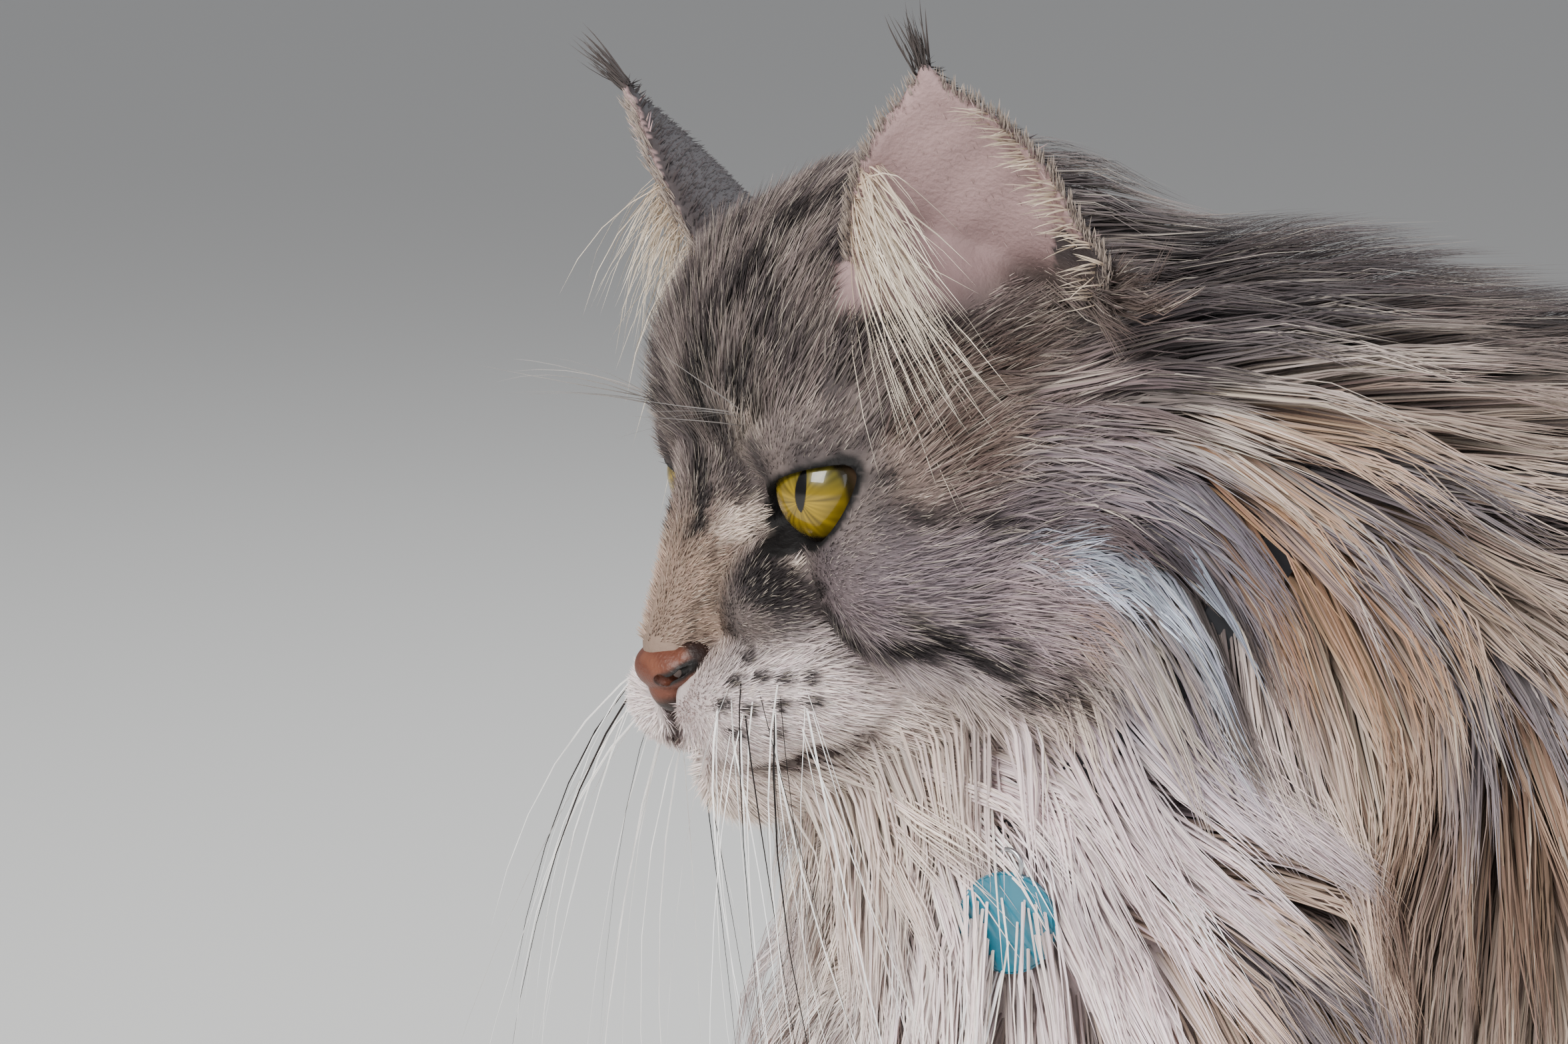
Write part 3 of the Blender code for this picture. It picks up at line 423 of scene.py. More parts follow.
def seen(mesh):
    """The vertices, triangles and vertex normals of a mesh, as arrays."""
    points = np.zeros(len(mesh.vertices) * 3)
    mesh.vertices.foreach_get("co", points)
    mesh.calc_loop_triangles()
    faces = np.zeros(len(mesh.loop_triangles) * 3, int)
    mesh.loop_triangles.foreach_get("vertices", faces)
    points, faces = points.reshape(-1, 3), faces.reshape(-1, 3)
    normals = np.zeros((len(points), 3))
    corners = points[faces]
    areas = np.cross(corners[:, 1] - corners[:, 0], corners[:, 2] - corners[:, 0])
    for i in range(3):
        np.add.at(normals, faces[:, i], areas)
    return points, faces, unit(normals)


skin = headSkin()
print("head moulded", len(skin.data.vertices))
boolean(skin, "DIFFERENCE", [lidWindow(1), lidWindow(-1)])
boolean(skin, "UNION", [bodySkin(), pawSkin()])
print("skin joined", len(skin.data.vertices))
skin.data.materials.append(skinMaterial)
lipLine = [(0, 1.2, -9.5), (0, 1.5, -16), (6.6, 2.1, -17.5), (8, 7, -21.4), (12, 14, -24.4), (17.5, 22.7, -26.4),
           (22, 28, -24.5)]


def onSkin(path):
    """A path in the head's frame, drawn onto the skin in small steps."""
    points, faces, _ = seen(skin.data)
    tree = BVHTree.FromPolygons(points.tolist(), faces.tolist())
    drawn = []
    for start, end in zip(path, path[1:]):
        for share in (0, 0.25, 0.5, 0.75):
            place = headPlace @ Vector(start).lerp(Vector(end), share)
            drawn.append(headPlace.inverted() @ tree.find_nearest(place)[0])
    return np.array(drawn)


lipLine = onSkin(lipLine)


def pressLips():
    """The line of the mouth and the groove under the nose, pressed into the skin."""
    points, _, normals = seen(skin.data)
    inHead = moved(toHead, points) * [1, 1, 1]
    inHead[:, 0] = np.abs(inHead[:, 0])
    depth = 1.8 * np.exp(-(nearLine(inHead, lipLine) / 1.4) ** 2)
    points = points - normals * (depth * mm)[:, None]
    skin.data.vertices.foreach_set("co", points.astype(np.float32).ravel())
    skin.data.update()


pressLips()
skinPoints, skinFaces, skinNormals = seen(skin.data)


# Markings, with painted shade and a painted highlight mixed in. Every place on the cat has one colour, which skin and
# coat both take.
# Lines and spots are in the head's frame, drawn on the left and mirrored.
coatColours = {key: linear(code) for key, code in {
    "crown": "#443e3e", "tick": "#978b84", "dark": "#1f1b1c", "cheek": "#857b7f", "bridge": "#a08c7b",
    "muzzle": "#e4dad6", "pale": "#ddd0c0", "bib": "#f8efea", "ruff": "#b7a290", "warm": "#8c6a49",
    "coolShade": "#6c6e7a", "nape": "#302828", "ash": "#bfb9c2", "rose": "#f2e4e5", "tan": "#7a6452", "back": "#575150", "side": "#94877b", "earBack": "#413c3c",
    "earInside": "#9c8684", "lid": "#0c0909", "innerCorner": "#1f1a1b", "lip": "#33211f", "leather": "#603526",
    "peach": "#a26a50", "sheen": "#aab6c4", "streak": "#cbc1b4", "mauve": "#a59697",
}.items()}
markingLines = {
    "inner M": ([(5, 18, 20), (6, 23, 32), (7.5, 28, 43), (11, 40, 56), (12, 54, 65), (12, 72, 70)], 3.6, 0.95),
    "outer M": ([(17, 29, 38), (16.5, 32, 47), (21, 42, 56), (26, 56, 60)], 3.2, 0.9),
    "middle": ([(0, 33, 55), (0, 50, 68), (0, 75, 76)], 3.0, 0.8),
    "brow patch": ([(13.5, 28, 29), (14.5, 29, 32)], 2.0, 0.7),
    "under eye": ([(19.5, 21, 8), (23, 26, 5), (27, 28, -3), (34, 33, -8), (41, 40, -9)], 4.6, 0.85),
    "cheek upper": ([(35, 38, 24), (43, 43, 15), (47, 54, 6), (50, 66, -2)], 2.6, 0.85),
    "cheek lower": ([(38, 36, -6), (42, 44, -15), (44, 52, -23), (47, 61, -27), (49, 72, -30)], 5.4, 0.97),
    "brow side": ([(30, 38, 32), (37, 46, 34), (42, 60, 28)], 2.4, 0.6),
    "nose edge": ([(7, 9, -1), (8, 12, 6), (9, 17, 14)], 1.8, 0.55),
    "temple": ([(28, 46, 44), (36, 58, 40), (42, 72, 30)], 4.2, 0.6),
    "muzzle top": ([(18, 11, 1), (22, 17, -2), (26, 22, -5)], 1.5, 0.45),
}
paleSpots = [((11.0, 24.0, 17.5), 5.0, 0.95), ((14.5, 29.0, 35.0), 5.5, 0.6), ((22, 27, 9.5), 2.6, 0.9),
             ((38, 36, -4), 5.0, 0.25)]
# Zones of the neck and shoulder, on both sides: place along and up, reach both ways, colour and strength. The grey-blue
# zone is painted shade.
bodyZones = [(-0.116, 0.352, 0.040, 0.026, "nape", 0.9), (-0.108, 0.300, 0.016, 0.024, "coolShade", 0.5),
             (-0.084, 0.330, 0.026, 0.014, "streak", 0.8), (-0.074, 0.288, 0.030, 0.028, "warm", 0.8),
             (-0.104, 0.266, 0.024, 0.026, "ash", 0.8), (-0.136, 0.236, 0.032, 0.040, "rose", 0.9),
             (-0.056, 0.246, 0.024, 0.030, "tan", 0.8), (-0.036, 0.222, 0.030, 0.040, "nape", 0.45),
             (-0.035, 0.300, 0.030, 0.022, "streak", 0.35), (0.020, 0.270, 0.035, 0.030, "warm", 0.5)]
foldLine = onSkin([(50, 63, -1), (50, 72, -13), (47, 82, -27), (42, 80, -48)])
whiskerSpots = [(18.2, 12.3, -2.9), (19.3, 8.4, -5.2), (21.5, 12.3, -5.7), (23.0, 15.8, -7.6), (25.0, 19.3, -8.8),
                (18.7, 4.8, -8.2), (21.9, 8.1, -10.1), (23.8, 13.1, -11.6), (25.6, 18.0, -13.0), (19.8, 4.9, -13.5),
                (22.4, 11.1, -16.2), (24.6, 16.0, -17.4)]


def headness(points):
    """1 on the head, 0 on the neck and body, for points in the body's own place."""
    return smooth(-0.006, 0.006, (points - [0, -0.124, 0.3125]) @ [0, -0.933, 0.359])


def earShare(inHead):
    """How far up an ear each point is, above 0 only on the ears, and whether it is inside the cup."""
    best = np.full(len(inHead), -1.0)
    inside = np.zeros(len(inHead))
    for ear in earValues.values():
        base, tip, axis, opens, across = (np.array(part) for part in earSpace(ear))
        offset = inHead - base
        share = offset @ axis / np.linalg.norm(tip - base)
        width = np.abs(offset @ across)
        left = 1 - np.clip(share, 0, 1)
        half = ear["half"] * (1 - np.clip(share, 0, 1) ** earFullness)
        depth = ear["depth"] * left ** 0.9
        near = (width < half + 5) & (share > -0.1) & (share < 1.4) & (np.abs(offset @ opens + depth * 0.4) < 16)
        t = np.clip(width / np.maximum(half, 1), 0, 1) * 1.35
        leaf = -depth * (np.cos(t) - cos(1.35)) * 1.1
        best = np.where(near, np.maximum(best, share), best)
        inside = np.where((offset @ opens > leaf) & near, 1.0, inside)
    return best, inside


def headMarkingsAndShade(points, normals):
    inHead = moved(toHead, points)
    sideways = inHead * [1, 1, 1]
    sideways[:, 0] = np.abs(sideways[:, 0])
    wobble = sideways + 1.1 * np.stack([waves(inHead, 9, seed) for seed in (11, 12, 13)], axis=1)
    x, y, z = sideways.T
    colour = np.tile(coatColours["crown"], (len(points), 1))
    colour = mixed(colour, coatColours["tick"], 0.30 + 0.22 * waves(inHead * [1, 0.5, 0.5], 7, 21).clip(-1, 1))
    colour = mixed(colour, coatColours["cheek"], smooth(20, 2, z) * smooth(20, 34, x) * 0.9)
    colour = mixed(colour, coatColours["cheek"], smooth(62, 80, y) * smooth(30, 10, z) * 0.5)
    colour = mixed(colour, coatColours["bridge"], smooth(16, 8, x) * smooth(30, 14, y) * smooth(30, 15, z))
    colour = mixed(colour, coatColours["muzzle"], smooth(2, -7, z) * smooth(30, 22, y) * 0.95)
    colour = mixed(colour, coatColours["muzzle"], smooth(-6, -20, z) * smooth(52, 30, y))
    colour = mixed(colour, coatColours["pale"], smooth(-14, -30, z) * 0.7)
    colour = mixed(colour, coatColours["mauve"], 0.7 * smooth(38, 56, y) * smooth(6, -8, z))
    colour = mixed(colour, coatColours["warm"], 0.16 * waves(inHead, 38, 5).clip(0, 1) * smooth(20, 34, x))
    for centre, radius, strength in paleSpots:
        colour = mixed(colour, coatColours["pale"],
                       strength * smooth(1.2, 0.5, np.linalg.norm(wobble - centre, axis=1) / radius))
    for path, width, strength in markingLines.values():
        ragged = 1 + 0.3 * waves(inHead, 6, 31)
        colour = mixed(colour, coatColours["dark"], strength * smooth(1.25, 0.35, nearLine(wobble, path) / width / ragged))
    for spot in whiskerSpots:
        colour = mixed(colour, coatColours["dark"],
                       0.95 * smooth(2.0, 0.9, np.linalg.norm(sideways - spot, axis=1)))
    colour = mixed(colour, coatColours["lip"], 0.97 * smooth(2.6, 1.5, nearLine(sideways, lipLine)))
    level = lidLevel(points)
    # Darker in the inner corner of each eye.
    colour = mixed(colour, coatColours["innerCorner"], 0.92 * smooth(5.5, 2.0, nearLine(sideways, [(17, 22, 10), (20, 20.5, 8)])))
    colour = mixed(colour, coatColours["lid"], smooth(1.16, 1.07, level))
    share, inside = earShare(inHead)
    onEar = smooth(0.02, 0.16, share)
    # Painted shade inside the ear's cup, darker towards its base.
    cup = mixed(coatColours["earInside"], coatColours["lip"], 0.45 * smooth(0.40, 0.0, share))
    cup = cup * (1 + 0.07 * waves(inHead, 11, 33))[:, None]
    earColour = mixed(coatColours["earBack"], cup, inside)
    earColour = mixed(earColour, coatColours["dark"], (1 - inside) * smooth(0.6, 1.0, share) * 0.7)
    return mixed(colour, earColour, onEar)


def bodyMarkingsAndShade(points, normals):
    place = moved(toBody, points)
    x, y, z = place.T
    facing = normals
    shape = waves(place, 0.11, 41) + 0.5 * waves(place, 0.05, 42)
    fine = waves(place * [1, 0.6, 0.6], 0.022, 43)
    colour = np.tile(coatColours["side"], (len(points), 1))
    colour = mixed(colour, coatColours["ruff"], smooth(0.02, -0.06, y))
    colour = mixed(colour, coatColours["warm"], 0.85 * smooth(0.0, 0.8, shape) * smooth(0.20, 0.0, y))
    # Grey-blue painted shade in patches through the coat.
    colour = mixed(colour, coatColours["coolShade"], 0.75 * smooth(0.30, 1.0, fine + 0.4 * shape))
    for along, height, reach, rise, key, strength in bodyZones:
        away = np.sqrt(((y - along) / reach) ** 2 + ((z - height) / rise) ** 2) + 0.25 * fine
        colour = mixed(colour, coatColours[key], strength * smooth(1.3, 0.5, away))
    back = smooth(0.25, 0.9, facing[:, 2] + 0.12 * fine)
    colour = mixed(colour, coatColours["back"], 0.85 * back)
    colour = mixed(colour, coatColours["nape"], smooth(0.045, 0.02, np.abs(x)) * smooth(0.4, 0.9, facing[:, 2]) * 0.7)
    swirl = np.sin((z - 0.1) * 95 + 2.2 * waves(place, 0.13, 44)) + 0.5 * waves(place, 0.04, 45)
    colour = mixed(colour, coatColours["dark"], 0.42 * smooth(0.35, 1.1, swirl) * smooth(0.02, 0.10, y) * smooth(0.09, 0.15, z))
    bib = smooth(-0.2, -0.75, facing[:, 1]) * smooth(-0.06, -0.10, y)
    colour = mixed(colour, coatColours["bib"], 0.9 * bib)
    colour = mixed(colour, coatColours["pale"], 0.8 * smooth(0.0, -0.7, facing[:, 2]) * smooth(0.09, 0.16, z))
    legs = smooth(0.16, 0.12, z) * (y < 0.45)
    bands = smooth(0.1, 0.9, np.sin(z * 190 + waves(place, 0.03, 46)))
    colour = mixed(colour, mixed(coatColours["side"], coatColours["dark"], 0.5 * bands), legs * 0.8)
    colour = mixed(colour, coatColours["pale"], smooth(0.040, 0.022, z) * (y < 0.45))
    tail = smooth(0.37, 0.42, y)
    rings = smooth(0.0, 0.9, np.sin((y - z) * 85 + 0.6 * waves(place, 0.03, 47)))
    colour = mixed(colour, mixed(coatColours["side"], coatColours["nape"], 0.35 + 0.5 * rings), tail)
    return mixed(colour, coatColours["dark"], 0.7 * smooth(0.63, 0.67, y))


mauveTint = [1.03, 0.975, 1.0]


def markingsAndPaintedLight(points, normals):
    share = headness(moved(toBody, points))
    colour = mixed(bodyMarkingsAndShade(points, normals), headMarkingsAndShade(points, normals), share)
    sideways = moved(toHead, points)
    sideways[:, 0] = np.abs(sideways[:, 0])
    # Painted shade just behind the fold of the cheek, in the dark nape colour, and a pale-blue painted highlight along
    # the fold.
    shadow = nearLine(sideways - [0, 9, -2], foldLine)
    colour = mixed(colour, coatColours["nape"], 0.75 * smooth(8, 3, shadow))
    colour = mixed(colour, coatColours["sheen"], 0.8 * smooth(5.5, 2.5, nearLine(sideways, foldLine)))
    return colour * mauveTint


def paint(mesh, colours):
    layer = mesh.color_attributes.new("coat", "FLOAT_COLOR", "POINT")
    values = np.ones((len(colours), 4), np.float32)
    values[:, :3] = np.clip(colours, 0, 1)
    layer.data.foreach_set("color", values.ravel())


# The unwrap of the skin: each region is rolled flat round its own middle line

def unwrap(points):
    place, inHead = moved(toBody, points), moved(toHead, points)
    x, y, z = place.T
    turn = np.arctan2(x, z - 0.25) / (2 * pi) + 0.5
    flat = np.stack([0.52 + 0.46 * turn, 0.02 + 0.46 * np.clip((y + 0.2) / 0.6, 0, 1)], axis=1)
    headTurned = np.arctan2(inHead[:, 0], inHead[:, 2] - 5) / (2 * pi) + 0.5
    onHead = np.stack([0.02 + 0.46 * headTurned, 0.02 + 0.46 * np.clip((inHead[:, 1] + 5) / 125, 0, 1)], axis=1)
    flat = np.where((headness(place) > 0.5)[:, None], onHead, flat)
    leg = (z < 0.13) & (y < 0.45)
    number = (x > 0) * 1 + (y > 0.15) * 2
    middle = np.where(y > 0.15, 0.345, -0.01)
    legTurn = np.arctan2(np.abs(x) - 0.052, y - middle) / (2 * pi) + 0.5
    onLeg = np.stack([0.02 + 0.24 * number + 0.22 * legTurn, 0.52 + 0.22 * z / 0.13], axis=1)
    flat = np.where(leg[:, None], onLeg, flat)
    path = np.array(bodyValues["tail"])
    nearest = np.linalg.norm(place[:, None] - path[None], axis=2).argmin(axis=1) if len(place) < 400000 else 0
    middle = path[nearest]
    tailTurn = np.arctan2(x - middle[:, 0], z - middle[:, 2]) / (2 * pi) + 0.5
    along = np.clip((y - 0.37 + 0.28 - np.clip(z, 0, 0.28)) / 0.5, 0, 1)
    onTail = np.stack([0.02 + 0.9 * along, 0.77 + 0.2 * tailTurn], axis=1)
    return np.where((y > 0.40)[:, None] & ~leg[:, None], onTail, flat)


def addUV(mesh, name, values):
    """A UV map with one value for each vertex."""
    layer = mesh.uv_layers.new(name=name)
    corners = np.zeros(len(mesh.loops), int)
    mesh.loops.foreach_get("vertex_index", corners)
    layer.data.foreach_set("uv", values[corners].astype(np.float32).ravel())


skinColours = markingsAndPaintedLight(skinPoints, skinNormals)
# The skin is painted darker, as shade under the coat between the tufts, except on the bare ears.
bare = smooth(0.05, 0.2, earShare(moved(toHead, skinPoints))[0])
paint(skin.data, skinColours * (0.62 + 0.38 * bare)[:, None])
addUV(skin.data, "OFBake", unwrap(skinPoints))
skin.data.shade_smooth()
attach(skin, "root")
fleshNodes = [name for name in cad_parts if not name.startswith(("eye", "collar", "nose"))]
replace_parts(skin, *fleshNodes)
print("skin painted")


# Roots and guides

def sampleRoots(weights, count, seed):
    """Places on the skin, as many to each face as its area times its weight asks for."""
    chance = np.random.default_rng(seed)
    corners = skinPoints[skinFaces]
    area = np.linalg.norm(np.cross(corners[:, 1] - corners[:, 0], corners[:, 2] - corners[:, 0]), axis=1)
    total = np.cumsum(area * weights)
    picks = (np.arange(count) + chance.random(count)) / count * total[-1]
    face = np.searchsorted(total, picks).clip(0, len(total) - 1)
    u, v = chance.random(count), chance.random(count)
    fold = u + v > 1
    u, v = np.where(fold, 1 - u, u), np.where(fold, 1 - v, v)
    share = np.stack([1 - u - v, u, v], axis=1)
    points = (skinPoints[skinFaces[face]] * share[:, :, None]).sum(axis=1)
    normals = unit((skinNormals[skinFaces[face]] * share[:, :, None]).sum(axis=1))
    return points, normals


faceMiddle = skinPoints[skinFaces].mean(axis=1)
faceNormal = unit(skinNormals[skinFaces].mean(axis=1))
faceInHead = moved(toHead, faceMiddle)
facePlace = moved(toBody, faceMiddle)
faceHead = headness(facePlace)
faceEar, faceInEar = earShare(faceInHead)
faceLid = lidLevel(faceMiddle)


def headLie(inHead):
    """The lie of the short coat on the head, in the head's frame: back from the nose, up over the brow and down
    over the cheeks."""
    x, y, z = inHead.T
    side = np.sign(x)
    out = side * (0.25 + 0.35 * smooth(12, 0, y) + 0.25 * smooth(4, -10, z))
    rise = 0.75 * smooth(14, 34, z) * smooth(75, 40, y) - 0.55 * smooth(0, -16, z) - 0.35 * smooth(45, 75, y) * smooth(30, 0, z)
    rise = np.where((z < -24) & (y < 22), -0.9, rise)
    return unit(np.stack([out, np.full(len(x), 0.9), rise], axis=1))


def coatLie(points, normals):
    """The way the coat lies at each place, along the skin."""
    place = moved(toBody, points)
    x, y, z = place.T
    up = normals[:, 2:3]
    side = np.clip((0.75 - up) / 0.9, 0, 1)
    front = np.clip((-normals[:, 1:2] - 0.1) / 0.6, 0, 1)
    sway = 0.22 * waves(place, 0.07, 51)[:, None]
    back = 0.36 + 0.19 * smooth(-0.04, 0.06, y)[:, None] + sway
    lower = np.concatenate([0 * front, back - (back + 0.2) * front, -1 + 0 * front], axis=1)
    body = (1 - side) * np.array([0, 1.0, -0.12]) + side * lower
    onLeg = smooth(0.15, 0.11, z)[:, None]
    body = (1 - onLeg) * body + onLeg * np.array([0, 0.25, -1.0])
    onPaw = (smooth(0.034, 0.024, z) * (y < 0.45))[:, None]
    body = (1 - onPaw) * body + onPaw * np.array([0, -1.0, -0.35])
    path = np.array(bodyValues["tail"])
    tail = smooth(0.37, 0.41, y)[:, None]
    near = np.linalg.norm(place[:, None] - path[None], axis=2).argmin(axis=1)
    along = path[np.minimum(near + 1, len(path) - 1)] - path[np.maximum(near - 1, 0)]
    body = (1 - tail) * body + tail * unit(along) * 1.1
    head = headLie(moved(toHead, points)) @ np.array(headTurn)[:3, :3].T
    share = headness(place)[:, None]
    lie = share * head + (1 - share) * body
    return unit(lie - normals * (lie * normals).sum(axis=1, keepdims=True))


class Tufts:
    """Flat tapered tufts from arrays: rings of three points along each spine, then the tip."""

    def __init__(self):
        self.parts = []

    def add(self, spines, normals, widths, rootColour, tipColour, seed, thickness=0.28, rootPlace=None):
        """spines is tufts by points by 3, with the tip last, and widths is tufts by rings."""
        count, rings = widths.shape
        along = unit(spines[:, 1:] - spines[:, :-1])
        facing = np.repeat(normals[:, None], rings, axis=1) if normals.ndim == 2 else normals
        facing = unit(facing - along * (facing * along).sum(axis=2, keepdims=True))
        side = np.cross(along, facing)
        half = widths[:, :, None] / 2
        low = spines[:, :-1]
        ring = np.stack([low - side * half, low + side * half, low + facing * half * 2 * thickness], axis=2)
        points = np.concatenate([ring.reshape(count, rings * 3, 3), spines[:, -1:]], axis=1)
        share = np.concatenate([np.repeat(np.arange(rings) / rings, 3), [1.0]])
        # Along each tuft the root colour, with its painted shade, fades into the tip colour.
        shade = share[None, :, None] ** 0.8
        colours = rootColour[:, None] * (1 - shade) + tipColour[:, None] * shade
        place = unwrap(spines[:, 0] if rootPlace is None else rootPlace)
        across = np.concatenate([np.tile([-0.5, 0.5, 0.0], rings), [0.0]])
        patch = np.stack([across * 0.003, share * 0.003], axis=1)
        length = np.linalg.norm(spines[:, -1] - spines[:, 0], axis=1)
        chance = np.random.default_rng(seed)
        offset = chance.uniform(0, 50, (count, 1, 2))
        strand = np.stack([across[None] * (widths.max(axis=1) / 0.00028)[:, None],
                           share[None] * (length / 0.012)[:, None]], axis=2) + offset
        self.parts.append((rings, points, colours, place[:, None] + patch[None], strand))

    def build(self, name, limit=190000):
        """Makes meshes of less than the limit of triangles each."""
        made = []
        groups = {}
        for part in self.parts:
            groups.setdefault(part[0], []).append(part[1:])
        for rings, parts in groups.items():
            points, colours, bake, strand = (np.concatenate(arrays) for arrays in zip(*parts))
            perTuft = (rings - 1) * 6 + 4
            step = int(limit / perTuft)
            for first in range(0, len(points), step):
                rows = slice(first, first + step)
                made.append(self.mesh(name + "_" + str(len(made) + 1), rings, points[rows], colours[rows],
                                      bake[rows], strand[rows]))
        return made

    def mesh(self, name, rings, points, colours, bake, strand):
        count, each = points.shape[:2]
        quads = [(3 * r + i, 3 * r + 3 + i, 3 * r + 3 + (i + 1) % 3, 3 * r + (i + 1) % 3)
                 for r in range(rings - 1) for i in range(3)]
        last = 3 * (rings - 1)
        tris = [(last + i, each - 1, last + (i + 1) % 3) for i in range(3)] + [(0, 1, 2)]
        corners = np.array([v for face in quads + tris for v in face])
        sizes = np.array([4] * len(quads) + [3] * len(tris))
        corners = (np.arange(count)[:, None] * each + corners[None]).ravel()
        sizes = np.tile(sizes, count)
        mesh = bpy.data.meshes.new(name)
        mesh.vertices.add(count * each)
        mesh.vertices.foreach_set("co", points.astype(np.float32).ravel())
        mesh.loops.add(len(corners))
        mesh.loops.foreach_set("vertex_index", corners.astype(np.int32))
        mesh.polygons.add(len(sizes))
        mesh.polygons.foreach_set("loop_start", np.concatenate([[0], np.cumsum(sizes)[:-1]]).astype(np.int32))
        mesh.polygons.foreach_set("loop_total", sizes.astype(np.int32))
        mesh.polygons.foreach_set("use_smooth", np.zeros(len(sizes), bool))
        mesh.update(calc_edges=True)
        paint(mesh, colours.reshape(-1, 3))
        addUV(mesh, "OFBake", bake.reshape(-1, 2))
        addUV(mesh, "strand", strand.reshape(-1, 2))
        thing = addObject(name, mesh, furMaterial)
        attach(thing, "root")
        return thing


def tones(colours, seed, spread=0.16, tipLift=1.18, rootShade=0.72, ticks=0.0):
    """The root and tip colour of each tuft, darker at the root as painted shade deep in the coat and lighter at the
    tip, varied a little from tuft to tuft.
    """
    chance = np.random.default_rng(seed)
    vary = chance.normal(1, spread, (len(colours), 1)).clip(0.55, 1.6)
    warm = 1 + chance.normal(0, 0.02, (len(colours), 3))
    base = colours * vary * warm
    ticked = (chance.random(len(colours)) < ticks) * chance.uniform(0.2, 0.6, len(colours))
    return base * rootShade, mixed(base, coatColours["pale"], ticked) * tipLift


# Short fur of the face, head, legs and feet
shortValues = {"face_tufts": 66000, "head_tufts": 34000, "leg_tufts": 16000, "face_width": 0.00042,
               "head_width": 0.00055, "leg_width": 0.0010}


def shortLengths(points):
    """Length and width of the short tufts in metres."""
    inHead, place = moved(toHead, points), moved(toBody, points)
    x, y, z = np.abs(inHead[:, 0]), inHead[:, 1], inHead[:, 2]
    length = 2.2 + 2.4 * smooth(10, 34, y) + 2.6 * smooth(34, 62, y) + 3.0 * smooth(20, 40, x) * smooth(40, 60, y)
    length += 2.0 * smooth(-16, -30, z) + 2.6 * smooth(25, 34, z) * smooth(54, 42, y)
    length = np.where(lidLevel(points) < 2.2, np.minimum(length, 2.4), length)
    length = np.where(earShare(inHead)[0] > 0.04, 3.2, length)
    legs = 9 - 4.5 * smooth(0.04, 0.02, place[:, 2])
    return np.where(headness(place) > 0.5, length, legs) * mm


def shortCoat(weights, count, width, seed, standing=0.30, straight=True):
    chance = np.random.default_rng(seed)
    roots, normals = sampleRoots(weights, count, seed)
    lie = coatLie(roots, normals)
    lie = unit(lie + 0.16 * chance.normal(size=lie.shape))
    lie = unit(lie - normals * (lie * normals).sum(axis=1, keepdims=True))
    length = (shortLengths(roots) * chance.uniform(0.75, 1.3, count))[:, None]
    rise = standing * chance.uniform(0.5, 1.5, count)[:, None]
    spines = np.stack([roots - normals * 0.0006, roots + lie * length * 0.5 + normals * length * rise * 0.62,
                       roots + lie * length + normals * length * rise * 0.72], axis=1)
    wide = width * chance.uniform(0.7, 1.3, count)
    widths = np.stack([wide, wide * 0.8], axis=1)
    if straight:
        spines, widths = spines[:, [0, 2]], widths[:, :1]
    return spines, normals, widths, roots


coat = Tufts()
onFace = faceHead * (faceEar < 0.08) * (faceLid > 1.13)
leather = np.linalg.norm((faceInHead - [0, 4.5, -3]) / [8.8, 5.8, 6.8], axis=1)
mirrored = np.stack([np.abs(faceInHead[:, 0]), faceInHead[:, 1], faceInHead[:, 2]], axis=1)
onFace = onFace * (leather > 1.0) * (nearLine(mirrored, lipLine) > 1.6)
faceDense = onFace * smooth(66, 44, faceInHead[:, 1]) * (1.0 + 1.2 * smooth(40, 18, faceInHead[:, 1]))
spines, normals, widths, roots = shortCoat(faceDense, shortValues["face_tufts"], shortValues["face_width"], 101, 0.55)
rootColour, tipColour = tones(markingsAndPaintedLight(roots, normals), 102, 0.22, 1.10, 0.74, 0.15)
coat.add(spines, normals, widths, rootColour, tipColour, 103)
spines, normals, widths, roots = shortCoat(onFace * smooth(38, 56, faceInHead[:, 1]), shortValues["head_tufts"],
                                           shortValues["head_width"], 111)
rootColour, tipColour = tones(markingsAndPaintedLight(roots, normals), 112, 0.22, 1.10, 0.60, 0.15)
coat.add(spines, normals, widths, rootColour, tipColour, 113)
onLegs = (1 - faceHead) * smooth(0.15, 0.11, facePlace[:, 2]) * (facePlace[:, 1] < 0.45) * (facePlace[:, 2] > 0.004)
spines, normals, widths, roots = shortCoat(onLegs, shortValues["leg_tufts"], shortValues["leg_width"], 104)
rootColour, tipColour = tones(markingsAndPaintedLight(roots, normals), 105)
spines[:, :, 2] = np.maximum(spines[:, :, 2], 0.0012)
coat.add(spines, normals, widths, rootColour, tipColour, 106)
onEars = faceHead * (faceEar > 0.08) * (1 - faceInEar)
spines, normals, widths, roots = shortCoat(onEars, 5000, 0.0006, 107, 0.2)
rootColour, tipColour = tones(markingsAndPaintedLight(roots, normals), 108)
coat.add(spines, normals, widths, rootColour, tipColour, 109)
print("short coat laid")


# Long fur: guides first, which bend along the body, and then many tufts that gather towards them
longValues = {"guides": 5200, "steps": 5, "taper": (1.0, 0.9, 0.55), "tufts": (48500, 15000),
              "widths": (0.00064, 0.0024), "gather": 0.62, "wave": 0.0018}


